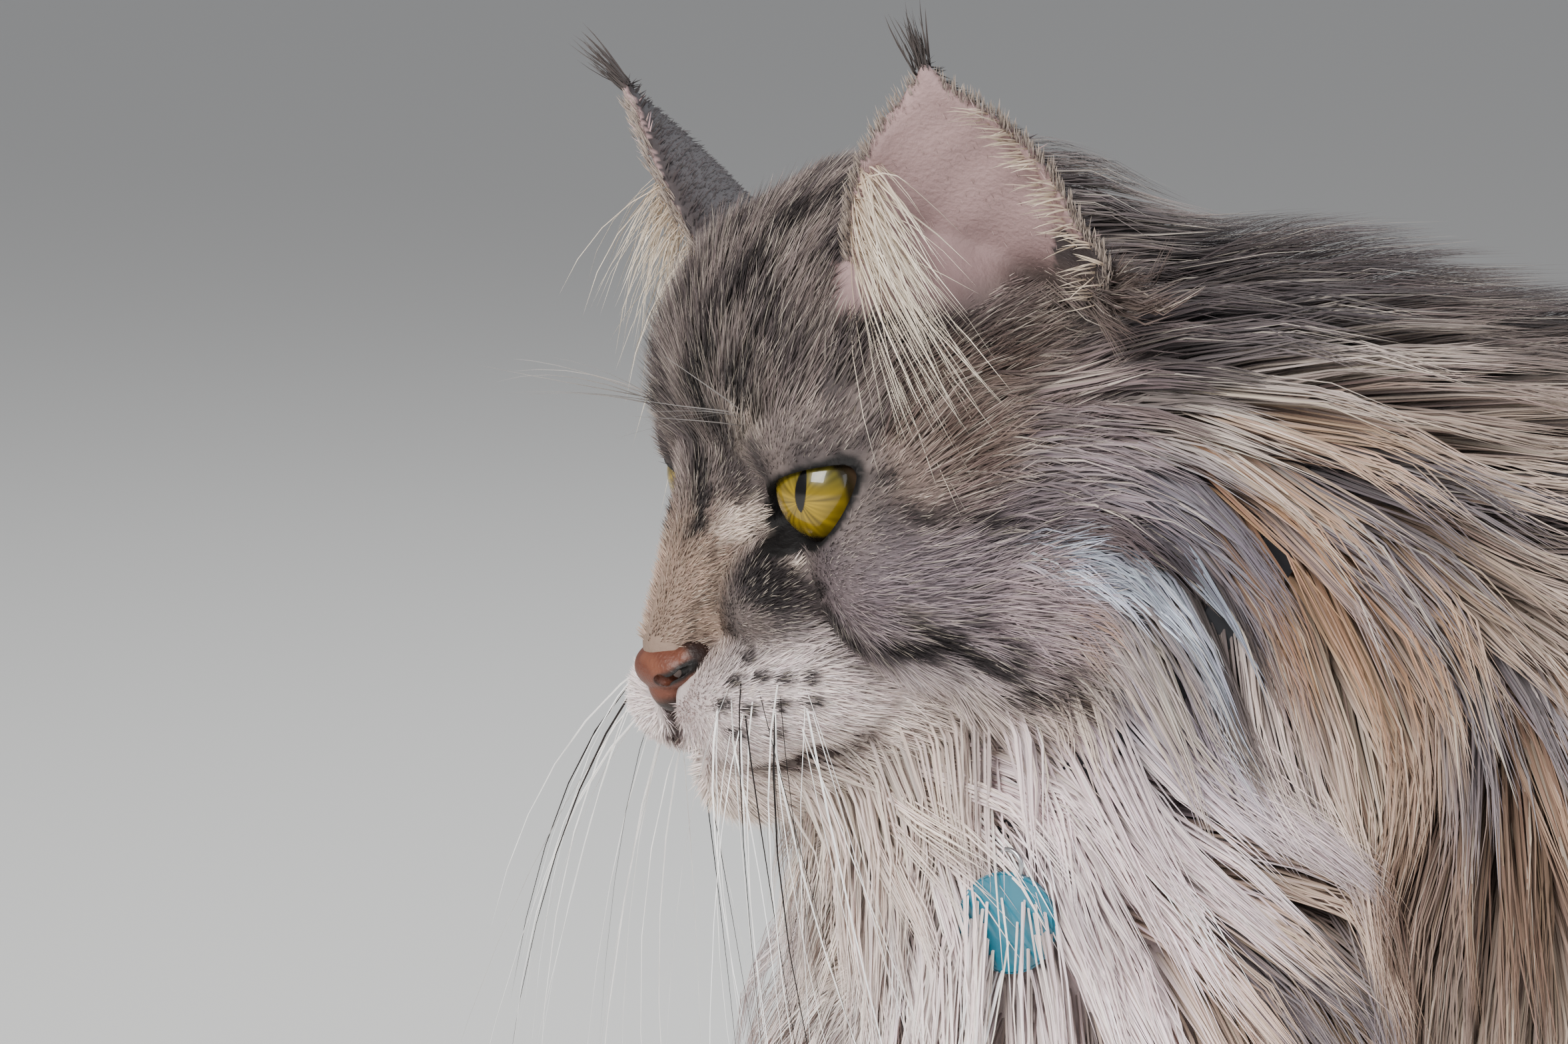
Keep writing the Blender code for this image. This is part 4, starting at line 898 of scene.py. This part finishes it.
def longLengths(points, normals):
    """Length and lift of the long coat in metres."""
    inHead, place = moved(toHead, points), moved(toBody, points)
    x, y, z = place.T
    head = headness(place)
    length = 36 + 12 * smooth(0.02, -0.06, y) + 10 * smooth(-0.3, -0.8, normals[:, 1]) * smooth(0, -0.05, y)
    length = length - 12 * smooth(0.5, 0.95, normals[:, 2]) * smooth(-0.02, 0.05, y)
    length += 12 * smooth(0.2, -0.6, normals[:, 2]) * smooth(0.02, 0.08, y)
    length = np.where((y > 0.26) & (normals[:, 1] > 0.2), length + 8, length)
    length = length * (1 - smooth(0.37, 0.41, y)) + 58 * smooth(0.37, 0.41, y)
    cheek = 11 + 26 * smooth(50, 76, inHead[:, 1]) * smooth(40, 8, inHead[:, 2])
    cheek = np.maximum(cheek, 42 * smooth(12, 30, inHead[:, 1]) * smooth(-22, -32, inHead[:, 2]))
    crownBack = smooth(74, 96, inHead[:, 1]) * smooth(0.2, 0.7, normals[:, 2])
    cheek = np.maximum(cheek, 26 * smooth(74, 100, inHead[:, 1]) + 14 * crownBack)
    length = length * (1 - head) + cheek * head
    lift = length * (0.34 + 0.06 * smooth(0.5, 0.9, np.abs(normals[:, 0])) - 0.16 * head + 0.22 * head * crownBack)
    lift = lift + 6 * (1 - head) * smooth(-0.04, -0.10, y) * smooth(0.2, 0.7, normals[:, 2])
    lift = np.where(y > 0.40, 0.42 * length, lift)
    lift = lift * (1 + 0.9 * smooth(-0.3, -0.8, normals[:, 1]) * smooth(-0.05, -0.10, y) * (1 - head))
    return length * mm, lift * mm


def underJaw(points, normals):
    """1 under the jaw and chin, where the hair hangs straight down."""
    inHead = moved(toHead, points)
    return headness(moved(toBody, points)) * smooth(-20, -30, inHead[:, 2]) * smooth(0.2, -0.4, normals[:, 2])


def growGuides(weights, count, seed):
    chance = np.random.default_rng(seed)
    roots, normals = sampleRoots(weights, count, seed)
    length, lift = longLengths(roots, normals)
    length = length * chance.uniform(0.85, 1.15, count)
    steps = longValues["steps"]
    heading = coatLie(roots, normals)
    hang = underJaw(roots, normals)[:, None]
    heading = unit(heading + 0.05 * chance.normal(size=heading.shape) + normals * 0.25 + normals * 1.3 * hang)
    points = roots.copy()
    spines, ups = [points.copy()], [normals.copy()]
    sway = waves(roots, 0.06, seed + 1)
    for index in range(1, steps + 1):
        share = index / steps
        step = (length / steps)[:, None]
        flow = coatLie(points, ups[-1])
        tailwards = smooth(0.37, 0.41, moved(toBody, points)[:, 1])[:, None]
        heading = unit(heading * 0.62 + flow * 0.38 * (1 - hang)
                       + np.array([0, 0, -0.16]) * (1 - 0.8 * tailwards + 2.5 * hang))
        ahead = points + heading * step
        near, up = nearestSkin(ahead)
        height = lift * (1 - (1 - share) ** 1.7)
        over = ((ahead - near) * up).sum(axis=1)
        low = over < height
        ahead = np.where(low[:, None], near + up * height[:, None], ahead)
        ahead[:, 2] = np.maximum(ahead[:, 2], 0.004)
        heading = unit(ahead - points)
        points = ahead
        spines.append(points.copy())
        ups.append(unit(ups[-1] * 0.8 + up))
    spines, ups = np.stack(spines, axis=1), np.stack(ups, axis=1)
    across = unit(np.cross(spines[:, -1] - spines[:, 0], normals))
    share = np.linspace(0, 1, steps + 1)
    bend = np.sin(share[None] * (length / 0.034)[:, None] * 2 * pi + sway[:, None] * 2) * share[None]
    spines = spines + across[:, None] * (bend * longValues["wave"])[:, :, None]
    return spines, ups, length


cover = BVHTree.FromPolygons(skinPoints.tolist(), skinFaces.tolist())


def nearestSkin(points):
    near, up = np.zeros_like(points), np.zeros_like(points)
    for index, point in enumerate(points):
        place, normal, _, _ = cover.find_nearest(point)
        near[index], up[index] = place, normal
    return near, up


def longTufts(weights, count, guideWeights, guideCount, width, seed):
    chance = np.random.default_rng(seed)
    guides, ups, lengths = growGuides(guideWeights, guideCount, seed)
    tree = KDTree(len(guides))
    for index, root in enumerate(guides[:, 0]):
        tree.insert(root, index)
    tree.balance()
    roots, normals = sampleRoots(weights, count, seed + 5)
    own = np.array([tree.find(root)[1] for root in roots])
    steps = longValues["steps"]
    share = np.linspace(0, 1, steps + 1)
    reach = chance.uniform(0.62, 1.05, count)
    where = share[None] * reach[:, None] * steps
    low = np.floor(where).astype(int).clip(0, steps - 1)
    part = (where - low)[:, :, None]
    path = guides[own[:, None], low] * (1 - part) + guides[own[:, None], low + 1] * part
    offset = roots - guides[own, 0]
    gather = (longValues["gather"] * chance.uniform(0.5, 1.2, count))[:, None, None]
    loose = chance.random(count) < 0.05
    gather[loose] *= 0.1
    spines = path + offset[:, None] * (1 - gather * share[None, :, None] ** 1.2)
    stray = chance.normal(size=(count, 1, 3)) * 0.0005 * np.where(loose, 3.5, 1.0)[:, None, None]
    spines = spines + stray * (share[None, :, None] ** 1.5)
    spines[:, :, 2] = np.maximum(spines[:, :, 2], 0.0015)
    spines[:, 0] = roots - normals * 0.001
    wide = width * chance.uniform(0.6, 1.35, count)
    widths = wide[:, None] * np.array(longValues["taper"])[None]
    keep = [0, 1, 3, 5]
    return spines[:, keep], ups[own][:, keep[:-1]], widths, roots, normals, own


tagPoints = seen(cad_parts["collar_tag"].data)[0]
tagMiddle = tagPoints.mean(axis=0)
tagOut = np.linalg.svd(tagPoints - tagMiddle)[2][2]
tagOut = tagOut * np.sign(tagOut[0])


def overTag(spines, seed):
    """The tufts that are parted, so that most of the tag and a little of the strap over it stay in sight."""
    chance = np.random.default_rng(seed)
    hidden = np.zeros(len(spines), bool)
    for centre, wide, high, odds in ((tagMiddle, 0.0036, 0.0095, 0.9), (tagMiddle + [0, 0, 0.0165], 0.004, 0.005, 0.8)):
        share = np.linspace(0, 1, 5)[None, None, :, None]
        path = spines[:, :-1, None] * (1 - share) + spines[:, 1:, None] * share
        offset = path - centre
        along = offset @ tagOut
        level = offset @ np.cross(tagOut, [0, 0, 1.0]) / wide
        crosses = ((level ** 2 + (offset[..., 2] / high) ** 2 < 1) & (along > -0.004)).any(axis=(1, 2))
        hidden |= crosses & (chance.random(len(spines)) < odds)
    return hidden


onCheek = smooth(46, 62, faceInHead[:, 1]) * smooth(46, 28, faceInHead[:, 2])
onCheek = np.maximum(onCheek, smooth(12, 26, faceInHead[:, 1]) * smooth(-22, -31, faceInHead[:, 2]))
onCheek = np.maximum(onCheek, smooth(76, 92, faceInHead[:, 1]))
onCheek = onCheek * faceHead * (faceEar < 0.06) * (faceLid > 3)
longArea = (1 - faceHead) * (1 - smooth(0.14, 0.11, facePlace[:, 2]) * (facePlace[:, 1] < 0.45))
near = smooth(0.06, -0.005, facePlace[:, 1])
seenMore = 1 + 0.45 * smooth(-0.01, 0.02, facePlace[:, 0])
longCoat = Tufts()
for index, weights in enumerate(((longArea * near + onCheek * 1.3) * seenMore, longArea * (1 - near))):
    seed = 201 + 20 * index
    spines, facing, widths, roots, normals, own = longTufts(weights, longValues["tufts"][index], weights,
                                                            longValues["guides"] // 2, longValues["widths"][index],
                                                            seed)
    keep = ~overTag(spines, seed + 4)
    spines, facing, widths, roots, normals, own = (part[keep] for part in (spines, facing, widths, roots, normals, own))
    lain, outwards = nearestSkin(spines[:, 2])
    colours = markingsAndPaintedLight(lain, outwards)
    lockTone = 1 + 0.16 * np.random.default_rng(seed + 1).normal(size=longValues["guides"] // 2)[own]
    rootColour, tipColour = tones(colours * lockTone[:, None], seed + 2, 0.11, 1.12, 0.56, 0.08)
    longCoat.add(spines, facing, widths, rootColour, tipColour, seed + 3, 0.16)
print("long coat laid")
shortPieces = coat.build("short_coat")
longPieces = longCoat.build("long_coat")
coatPieces = shortPieces + longPieces
print("coat built", sum(len(piece.data.loop_triangles) or len(piece.data.polygons) for piece in coatPieces))


# Long hairs of the ears: from the inner edge across the opening, and the tufts of the tips
furnishValues = {"hairs": 420, "length": (14, 40), "width": 0.00032, "tip_hairs": 60}
furnish = Tufts()


def spray(roots, ways, lengths, droop, width, rootCode, tipCode, seed, rings=4, spread=0.12):
    """Fine hairs from these roots, in the head's frame, that bend down a little towards their tips."""
    chance = np.random.default_rng(seed)
    count = len(roots)
    ways = unit(ways + spread * chance.normal(size=(count, 3)))
    share = np.linspace(0, 1, rings + 1)[None, :, None]
    spines = roots[:, None] + ways[:, None] * lengths[:, None, None] * share
    spines = spines + np.array(droop) * lengths[:, None, None] * share ** 2
    curl = unit(chance.normal(size=(count, 1, 3))) * lengths[:, None, None] * 0.07
    spines = spines + curl * np.sin(share * 2.4)
    spines = moved(np.array(headPlace), spines)
    facing = unit(np.cross(ways, chance.normal(size=(count, 3))))
    facing = facing @ np.array(headTurn)[:3, :3].T
    taper = np.array([1.0, 0.95, 0.8, 0.55, 0.4, 0.3])[:rings]
    widths = width * chance.uniform(0.6, 1.3, count)[:, None] * taper[None]
    tone = chance.normal(1, 0.12, (count, 1)).clip(0.6, 1.4)
    furnish.add(spines, facing, widths, linear(rootCode) * tone, linear(tipCode) * tone, seed + 1, 0.4)


def earHairs(ear, seed):
    chance = np.random.default_rng(seed)
    base, tip, axis, opens, across = (np.array(part) for part in earSpace(ear))
    count = furnishValues["hairs"]
    share, t = chance.uniform(-0.02, 0.7, count), -1 + 0.35 * chance.random(count) ** 2
    roots = np.array([earPoint(ear, a, b) for a, b in zip(share, t)]) - opens * 0.6
    low, high = furnishValues["length"]
    lengths = chance.uniform(low, high, count) * (1 - 0.45 * share)
    ways = opens * 0.62 + across * 0.36 - axis * 0.25
    ways = ways + axis * (0.55 * share[:, None] - 0.2)
    spray(roots, ways, lengths, (0, 0, -0.42), furnishValues["width"], "#b39c86", "#ece1cf", seed + 1, spread=0.16)
    count = count // 3
    share, t = chance.uniform(0.05, 0.85, count), chance.uniform(0.7, 1.0, count)
    roots = np.array([earPoint(ear, a, b) for a, b in zip(share, t)])
    spray(roots, np.tile(opens * 0.6 - across * 0.6 + axis * 0.5, (count, 1)), chance.uniform(5, 10, count),
          (0, 0, -0.1), 0.0004, "#a08a78", "#d9c9b4", seed + 3)
    count = furnishValues["tip_hairs"]
    roots = tip - axis * chance.uniform(1, 7, (count, 1)) - opens * 1.2 + across * chance.normal(0, 0.8, (count, 1))
    spray(roots, np.tile(axis + opens * 0.25, (count, 1)), chance.uniform(7, 15, count), (0, 0, 0), 0.0004,
          "#3c3635", "#4e4745", seed + 5, spread=0.10)
    count = 1100
    share, t = chance.uniform(0.02, 0.99, count), np.where(chance.random(count) < 0.5, -1.0, 1.0)
    roots = np.array([earPoint(ear, a, b) for a, b in zip(share, t)]) + chance.normal(0, 0.5, (count, 3))
    ways = axis * 1.1 + across * np.where(t > 0, 0.2, -0.2)[:, None]
    spray(roots, ways, chance.uniform(1.2, 3.4, count), (0, 0, 0), 0.00028, "#6d615c", "#a89a8e", seed + 7, 2)
    count = 900
    share, t = chance.uniform(0.0, 0.9, count), chance.uniform(-0.9, 0.9, count)
    roots = np.array([earPoint(ear, a, b) for a, b in zip(share, t)]) + opens * 1.0
    spray(roots, np.tile(axis * 0.9 + opens * 0.25, (count, 1)), chance.uniform(1.5, 3.5, count), (0, 0, 0),
          0.00022, "#94797a", "#c2aca8", seed + 9, 2)


earHairs(earValues["left"], 301)
earHairs(earValues["right"], 321)
print("ear hairs laid")

# Whiskers, and the long hairs over the eyes
whiskerValues = {"each": 2, "width": 0.00036, "brow_width": 0.00024}


def whiskerSet(side, seed):
    chance = np.random.default_rng(seed)
    for index, spot in enumerate(whiskerSpots):
        root = np.array([[side * spot[0], spot[1], spot[2]]]) * [0.96, 1.02, 1.0]
        back = (spot[1] - 4) / 16
        for strand in range(whiskerValues["each"]):
            way = np.array([[side * (0.58 - 0.20 * back), -0.74 + 0.62 * back, -0.40 - 0.3 * chance.random()]])
            length = np.array([64 + 34 * back + chance.uniform(-22, 10)])
            dark = chance.random() < 0.15
            spray(root, way, length, (0, -0.02, -0.46), whiskerValues["width"], "#1d1817" if dark else "#f4f1ee",
                  "#2a2524" if dark else "#fffdfa", seed + 10 + 2 * index + strand, 6, 0.10)
    count = 7
    root = np.array([side * 15.5, 30.5, 37.5]) + chance.normal(0, 1.2, (count, 3)) * [1, 0.4, 0.5]
    way = np.array([side * 0.3, -0.75, 0.55]) + chance.normal(0, 0.2, (count, 3))
    spray(root, way, chance.uniform(28, 48, count), (0, 0.05, -0.16), whiskerValues["brow_width"],
          "#6b6562", "#a8a29e", seed + 40, 6, 0.08)


whiskerSet(1, 401)
whiskerSet(-1, 451)
furnishPieces = furnish.build("long_hairs")
print("whiskers laid")

# Eyes: one ball each, with the iris and the slit of the pupil painted on it, and a bulge in front
eyeValues = {"gaze": (0.48, -0.87, 0.15), "iris": 7.9, "bulge": 0.9, "pupil_half": 1.1, "pupil_height": 3.9, "pupil_rise": 1.8, "slant": -17,
             "rings": 90, "points": 160}
eyeMaterial = paintedMaterial("wet eye", 0.25, 0, 0, Specular_IOR_Level=0.25, Coat_Weight=0.45, Coat_Roughness=0.02)
irisColours = {key: linear(code) for key, code in {
    "inner": "#7f6912", "outer": "#68570e", "top": "#403e16", "rim": "#1b1510", "pupil": "#050404",
    "white": "#3d2f24"}.items()}


def eyeball(name, side):
    rings, around = eyeValues["rings"], eyeValues["points"]
    radius = headValues["eye_radius"] - 0.25
    tilts = (np.arange(1, rings) / rings) ** 1.5 * pi
    turns = np.arange(around) / around * 2 * pi
    tilt, turn = np.meshgrid(tilts, turns, indexing="ij")
    tilt, turn = np.append([0, pi], tilt.ravel()), np.append([0, 0], turn.ravel())
    x, y, z = np.sin(tilt) * np.cos(turn), np.sin(tilt) * np.sin(turn), np.cos(tilt)
    flat = np.where(z > 0, np.sin(tilt) * radius, 99)
    swell = eyeValues["bulge"] * np.clip(1 - (flat / (eyeValues["iris"] + 0.6)) ** 2, 0, 1)
    points = np.stack([x, y, z], axis=1) * (radius + swell)[:, None]
    across, up = points[:, 0], points[:, 1]
    streak = waves(np.stack([np.cos(turn) * 9, np.sin(turn) * 9, flat * 0.25], axis=1), 1.6, 61)
    colour = mixed(irisColours["inner"], irisColours["outer"], smooth(2.0, eyeValues["iris"], flat))
    # Painted shadow of the upper lid across the top of the iris.
    colour = mixed(colour, irisColours["top"], smooth(0, 5, up) * 0.8) * (1 + 0.20 * streak)[:, None]
    colour = mixed(colour, irisColours["rim"], smooth(eyeValues["iris"] - 0.8, eyeValues["iris"] + 0.1, flat) * 0.9)
    colour = mixed(colour, irisColours["white"], smooth(eyeValues["iris"] + 0.3, eyeValues["iris"] + 1.6, flat))
    level = (up - eyeValues["pupil_rise"]) / eyeValues["pupil_height"]
    half = eyeValues["pupil_half"] * np.clip(1 - level ** 2, 0, 1) ** 0.7
    colour = mixed(colour, irisColours["pupil"], smooth(half + 0.22, half, np.abs(across)) * (half > 0) * (flat < 90))
    faces = [(0, 2 + i, 2 + (i + 1) % around) for i in range(around)]
    for ring in range(rings - 2):
        low, high = 2 + ring * around, 2 + (ring + 1) * around
        faces += [(low + i, high + i, high + (i + 1) % around, low + (i + 1) % around) for i in range(around)]
    last = 2 + (rings - 2) * around
    faces += [(1, last + (i + 1) % around, last + i) for i in range(around)]
    mesh = bpy.data.meshes.new(name)
    mesh.from_pydata(points.tolist(), [], faces)
    mesh.transform(eyeSpace(side, eyeValues["gaze"], eyeValues["slant"]))
    shape = bmesh.new()
    shape.from_mesh(mesh)
    outward(shape)
    shape.to_mesh(mesh)
    shape.free()
    paint(mesh, colour)
    mesh.shade_smooth()
    thing = addObject(name, mesh, eyeMaterial)
    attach(thing, "root")
    return thing


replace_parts(eyeball("eyeball_left", 1), "eye_left")
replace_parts(eyeball("eyeball_right", -1), "eye_right")
print("eyes made")

# The bare leather of the nose, with the nostrils
noseValues = {"middle": [((0, 5.6, -2.2), (8.8, 5.6, 4.6)), ((0, 4.8, -6.0), (4.4, 4.2, 5.2))],
              "wing": ((6.6, 8.0, -1.6), (3.2, 4.2, 3.4)), "voxel": 0.32}
noseMaterial = paintedMaterial("nose leather", 0.5, 0.5, 1500, Specular_IOR_Level=0.35, Coat_Weight=0.12,
                               Coat_Roughness=0.3)


def noseLeather():
    shape = bmesh.new()
    for centre, radii in noseValues["middle"]:
        ball(shape, centre, radii)
    for centre in bothSides(noseValues["wing"][0]):
        ball(shape, centre, noseValues["wing"][1])
    nose = mould("nose_leather", shape, noseValues["voxel"] * mm, 4)
    holes = []
    for side in (1, -1):
        hole = bmesh.new()
        limb(hole, (side * 4.6, -1.5, -3.6), (side * 5.4, 4.6, -2.6), 1.3, 1.6)
        limb(hole, (side * 5.8, 2.4, -3.0), (side * 11.5, 7.0, -1.8), 1.0, 0.6)
        holes.append(mould("hole", hole, 0.3 * mm, 2))
    boolean(nose, "DIFFERENCE", holes)
    nose.data.materials.append(noseMaterial)
    points, _, normals = seen(nose.data)
    inHead = moved(toHead, points)
    x = np.abs(inHead[:, 0])
    colour = mixed(coatColours["leather"], coatColours["peach"], 0.25 * waves(inHead, 5, 71).clip(0, 1))
    edge = np.maximum(smooth(5.2, 7.4, inHead[:, 1]), smooth(-6.0, -8.5, inHead[:, 2]))
    colour = mixed(colour, coatColours["lid"], 0.9 * edge)
    # Painted shade inside the nostrils.
    nostril = np.minimum(nearLine(inHead * [1, 1, 1] * np.stack([np.sign(inHead[:, 0])] + [np.ones(len(x))] * 2, 1),
                                  [(4.6, 0, -3.6), (5.8, 2.4, -3.0), (10, 6, -2.0)]), 9)
    colour = mixed(colour, coatColours["lid"], smooth(2.0, 1.1, nostril))
    paint(nose.data, colour)
    nose.data.shade_smooth()
    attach(nose, "root")
    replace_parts(nose, "nose")


noseLeather()
print("nose made")

# Claws, mostly hidden in the fur of the toes
clawMaterial = plainMaterial("claw horn", "#d9cfc2", 0.35, Specular_IOR_Level=0.5)


def claws():
    shape = bmesh.new()
    for back in bodyValues["paws"].values():
        for side in (1, -1):
            place = (bodyPlace @ Matrix.Translation((side * 0.050, back, 0.0006))
                     @ Matrix.Rotation(radians(4 * side), 4, "Z"))
            for index, across in enumerate((-0.0150, -0.0053, 0.0053, 0.0150)):
                ahead = -0.018 - (0.006 if index in (1, 2) else 0.0)
                front = Vector((across, ahead - 0.0125, 0.0085))
                start, end = front + Vector((0, 0.003, 0.001)), front + Vector((0, -0.0045, -0.0035))
                along = end - start
                turned = (place @ Matrix.Translation((start + end) / 2)
                          @ along.to_track_quat("Z", "Y").to_matrix().to_4x4())
                bmesh.ops.create_cone(shape, cap_ends=True, segments=12, radius1=0.0013, radius2=0.0001,
                                      depth=along.length, matrix=turned)
    outward(shape)
    thing = addObject("claws", toMesh("claws", shape), clawMaterial)
    thing.data.shade_smooth()
    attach(thing, "root")


claws()

# Strap and tag
strapMaterial = plainMaterial("woven strap", "#26272c", 0.7)
tagMaterial = plainMaterial("teal enamel", "#196a80", 0.25, Coat_Weight=0.6)
ringMaterial = plainMaterial("steel ring", "#b8bcc0", 0.3, Metallic=1.0)


def collarAndTag():
    strap = addObject("strap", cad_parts["collar"].data.copy())
    edge = strap.modifiers.new("edge", "BEVEL")
    edge.width = 0.0005
    edge.segments = 2
    edge.limit_method = "ANGLE"
    edge.angle_limit = radians(50)
    settle(strap)
    middle = Vector(seen(strap.data)[0].mean(axis=0))
    strap.data.transform(Matrix.Translation(middle) @ Matrix.Scale(0.955, 4) @ Matrix.Translation(-middle))
    strap.data.materials.append(strapMaterial)
    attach(strap, "root")
    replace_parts(strap, "collar")
    points, _, _ = seen(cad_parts["collar_tag"].data)
    middle = points.mean(axis=0)
    facing = Vector(np.linalg.svd(points - middle)[2][2])
    reach = float(np.linalg.norm(points - middle, axis=1).max())
    shape = bmesh.new()
    turn = Matrix.Translation(middle) @ facing.to_track_quat("Z", "Y").to_matrix().to_4x4()
    bmesh.ops.create_cone(shape, cap_ends=True, segments=72, radius1=reach, radius2=reach, depth=0.002, matrix=turn)
    rims = [e for e in shape.edges if e.calc_face_angle(0) > 1]
    bmesh.ops.bevel(shape, geom=rims, offset=0.0005, segments=3, affect="EDGES")
    outward(shape)
    tag = addObject("tag", toMesh("tag", shape), tagMaterial)
    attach(tag, "root")
    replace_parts(tag, "collar_tag")
    bpy.ops.mesh.primitive_torus_add(major_radius=0.0030, minor_radius=0.0005, major_segments=36, minor_segments=10,
                                     location=Vector(middle) + Vector((0, 0, reach + 0.0012)))
    ring = bpy.context.object
    ring.name = "tag_ring"
    ring.rotation_euler = (radians(90), 0, radians(35))
    ring.data.materials.append(ringMaterial)
    bpy.context.view_layer.update()
    ring.data.transform(ring.matrix_world)
    ring.matrix_world = Matrix.Identity(4)
    ring.data.shade_smooth()
    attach(ring, "root")


collarAndTag()
print("collar and tag made")

# Camera, floor and light
viewValues = {"turn": 72, "height": 8, "away": 0.98, "lens": 120, "right": 219, "up": 216, "per_mm": 0.125}


def lookFrom():
    turn, height = radians(viewValues["turn"]), radians(viewValues["height"])
    back = Vector((sin(turn) * cos(height), -cos(turn) * cos(height), sin(height)))
    right = Vector((cos(turn), sin(turn), 0))
    up = back.cross(right)
    middle = bodyPlace @ Vector(headValues["nose_tip"])
    scale = viewValues["per_mm"] * mm
    middle = middle + right * (viewValues["right"] * scale) + up * (viewValues["up"] * scale)
    lens = bpy.data.cameras.new("camera")
    lens.lens = viewValues["lens"]
    lens.sensor_width = 36
    lens.clip_start = 0.02
    camera = bpy.data.objects.new("camera", lens)
    camera.matrix_world = (Matrix.Translation(middle + back * viewValues["away"])
                           @ Matrix((right, up, back)).transposed().to_4x4())
    bpy.context.scene.collection.objects.link(camera)
    bpy.context.scene.camera = camera


def softLight(name, place, target, size, power, colour):
    light = bpy.data.lights.new(name, "AREA")
    light.size = size
    light.energy = power
    light.color = colour
    lamp = bpy.data.objects.new(name, light)
    lamp.location = place
    lamp.rotation_euler = (Vector(target) - Vector(place)).to_track_quat("-Z", "Y").to_euler()
    bpy.context.scene.collection.objects.link(lamp)


lookFrom()
bpy.ops.mesh.primitive_plane_add(size=80)
floor = bpy.context.object
floor.name = "floor"
floor.data.materials.append(plainMaterial("pale floor", "#e4e1dc", 0.9))
softLight("key", (1.2, -1.7, 1.4), (0, -0.3, 0.3), 1.0, 74, (1.0, 0.98, 0.95))
softLight("fill", (2.0, 0.6, 0.9), (0, -0.2, 0.25), 1.4, 18, (0.95, 0.97, 1.0))
softLight("rim", (-0.7, 1.3, 1.6), (0, -0.2, 0.3), 0.9, 44, (0.88, 0.94, 1.0))
world = bpy.data.worlds.new("studio")
world.use_nodes = True
world.node_tree.nodes["Background"].inputs["Color"].default_value = (0.72, 0.75, 0.80, 1)
world.node_tree.nodes["Background"].inputs["Strength"].default_value = 0.45
bpy.context.scene.world = world
print("stage set")
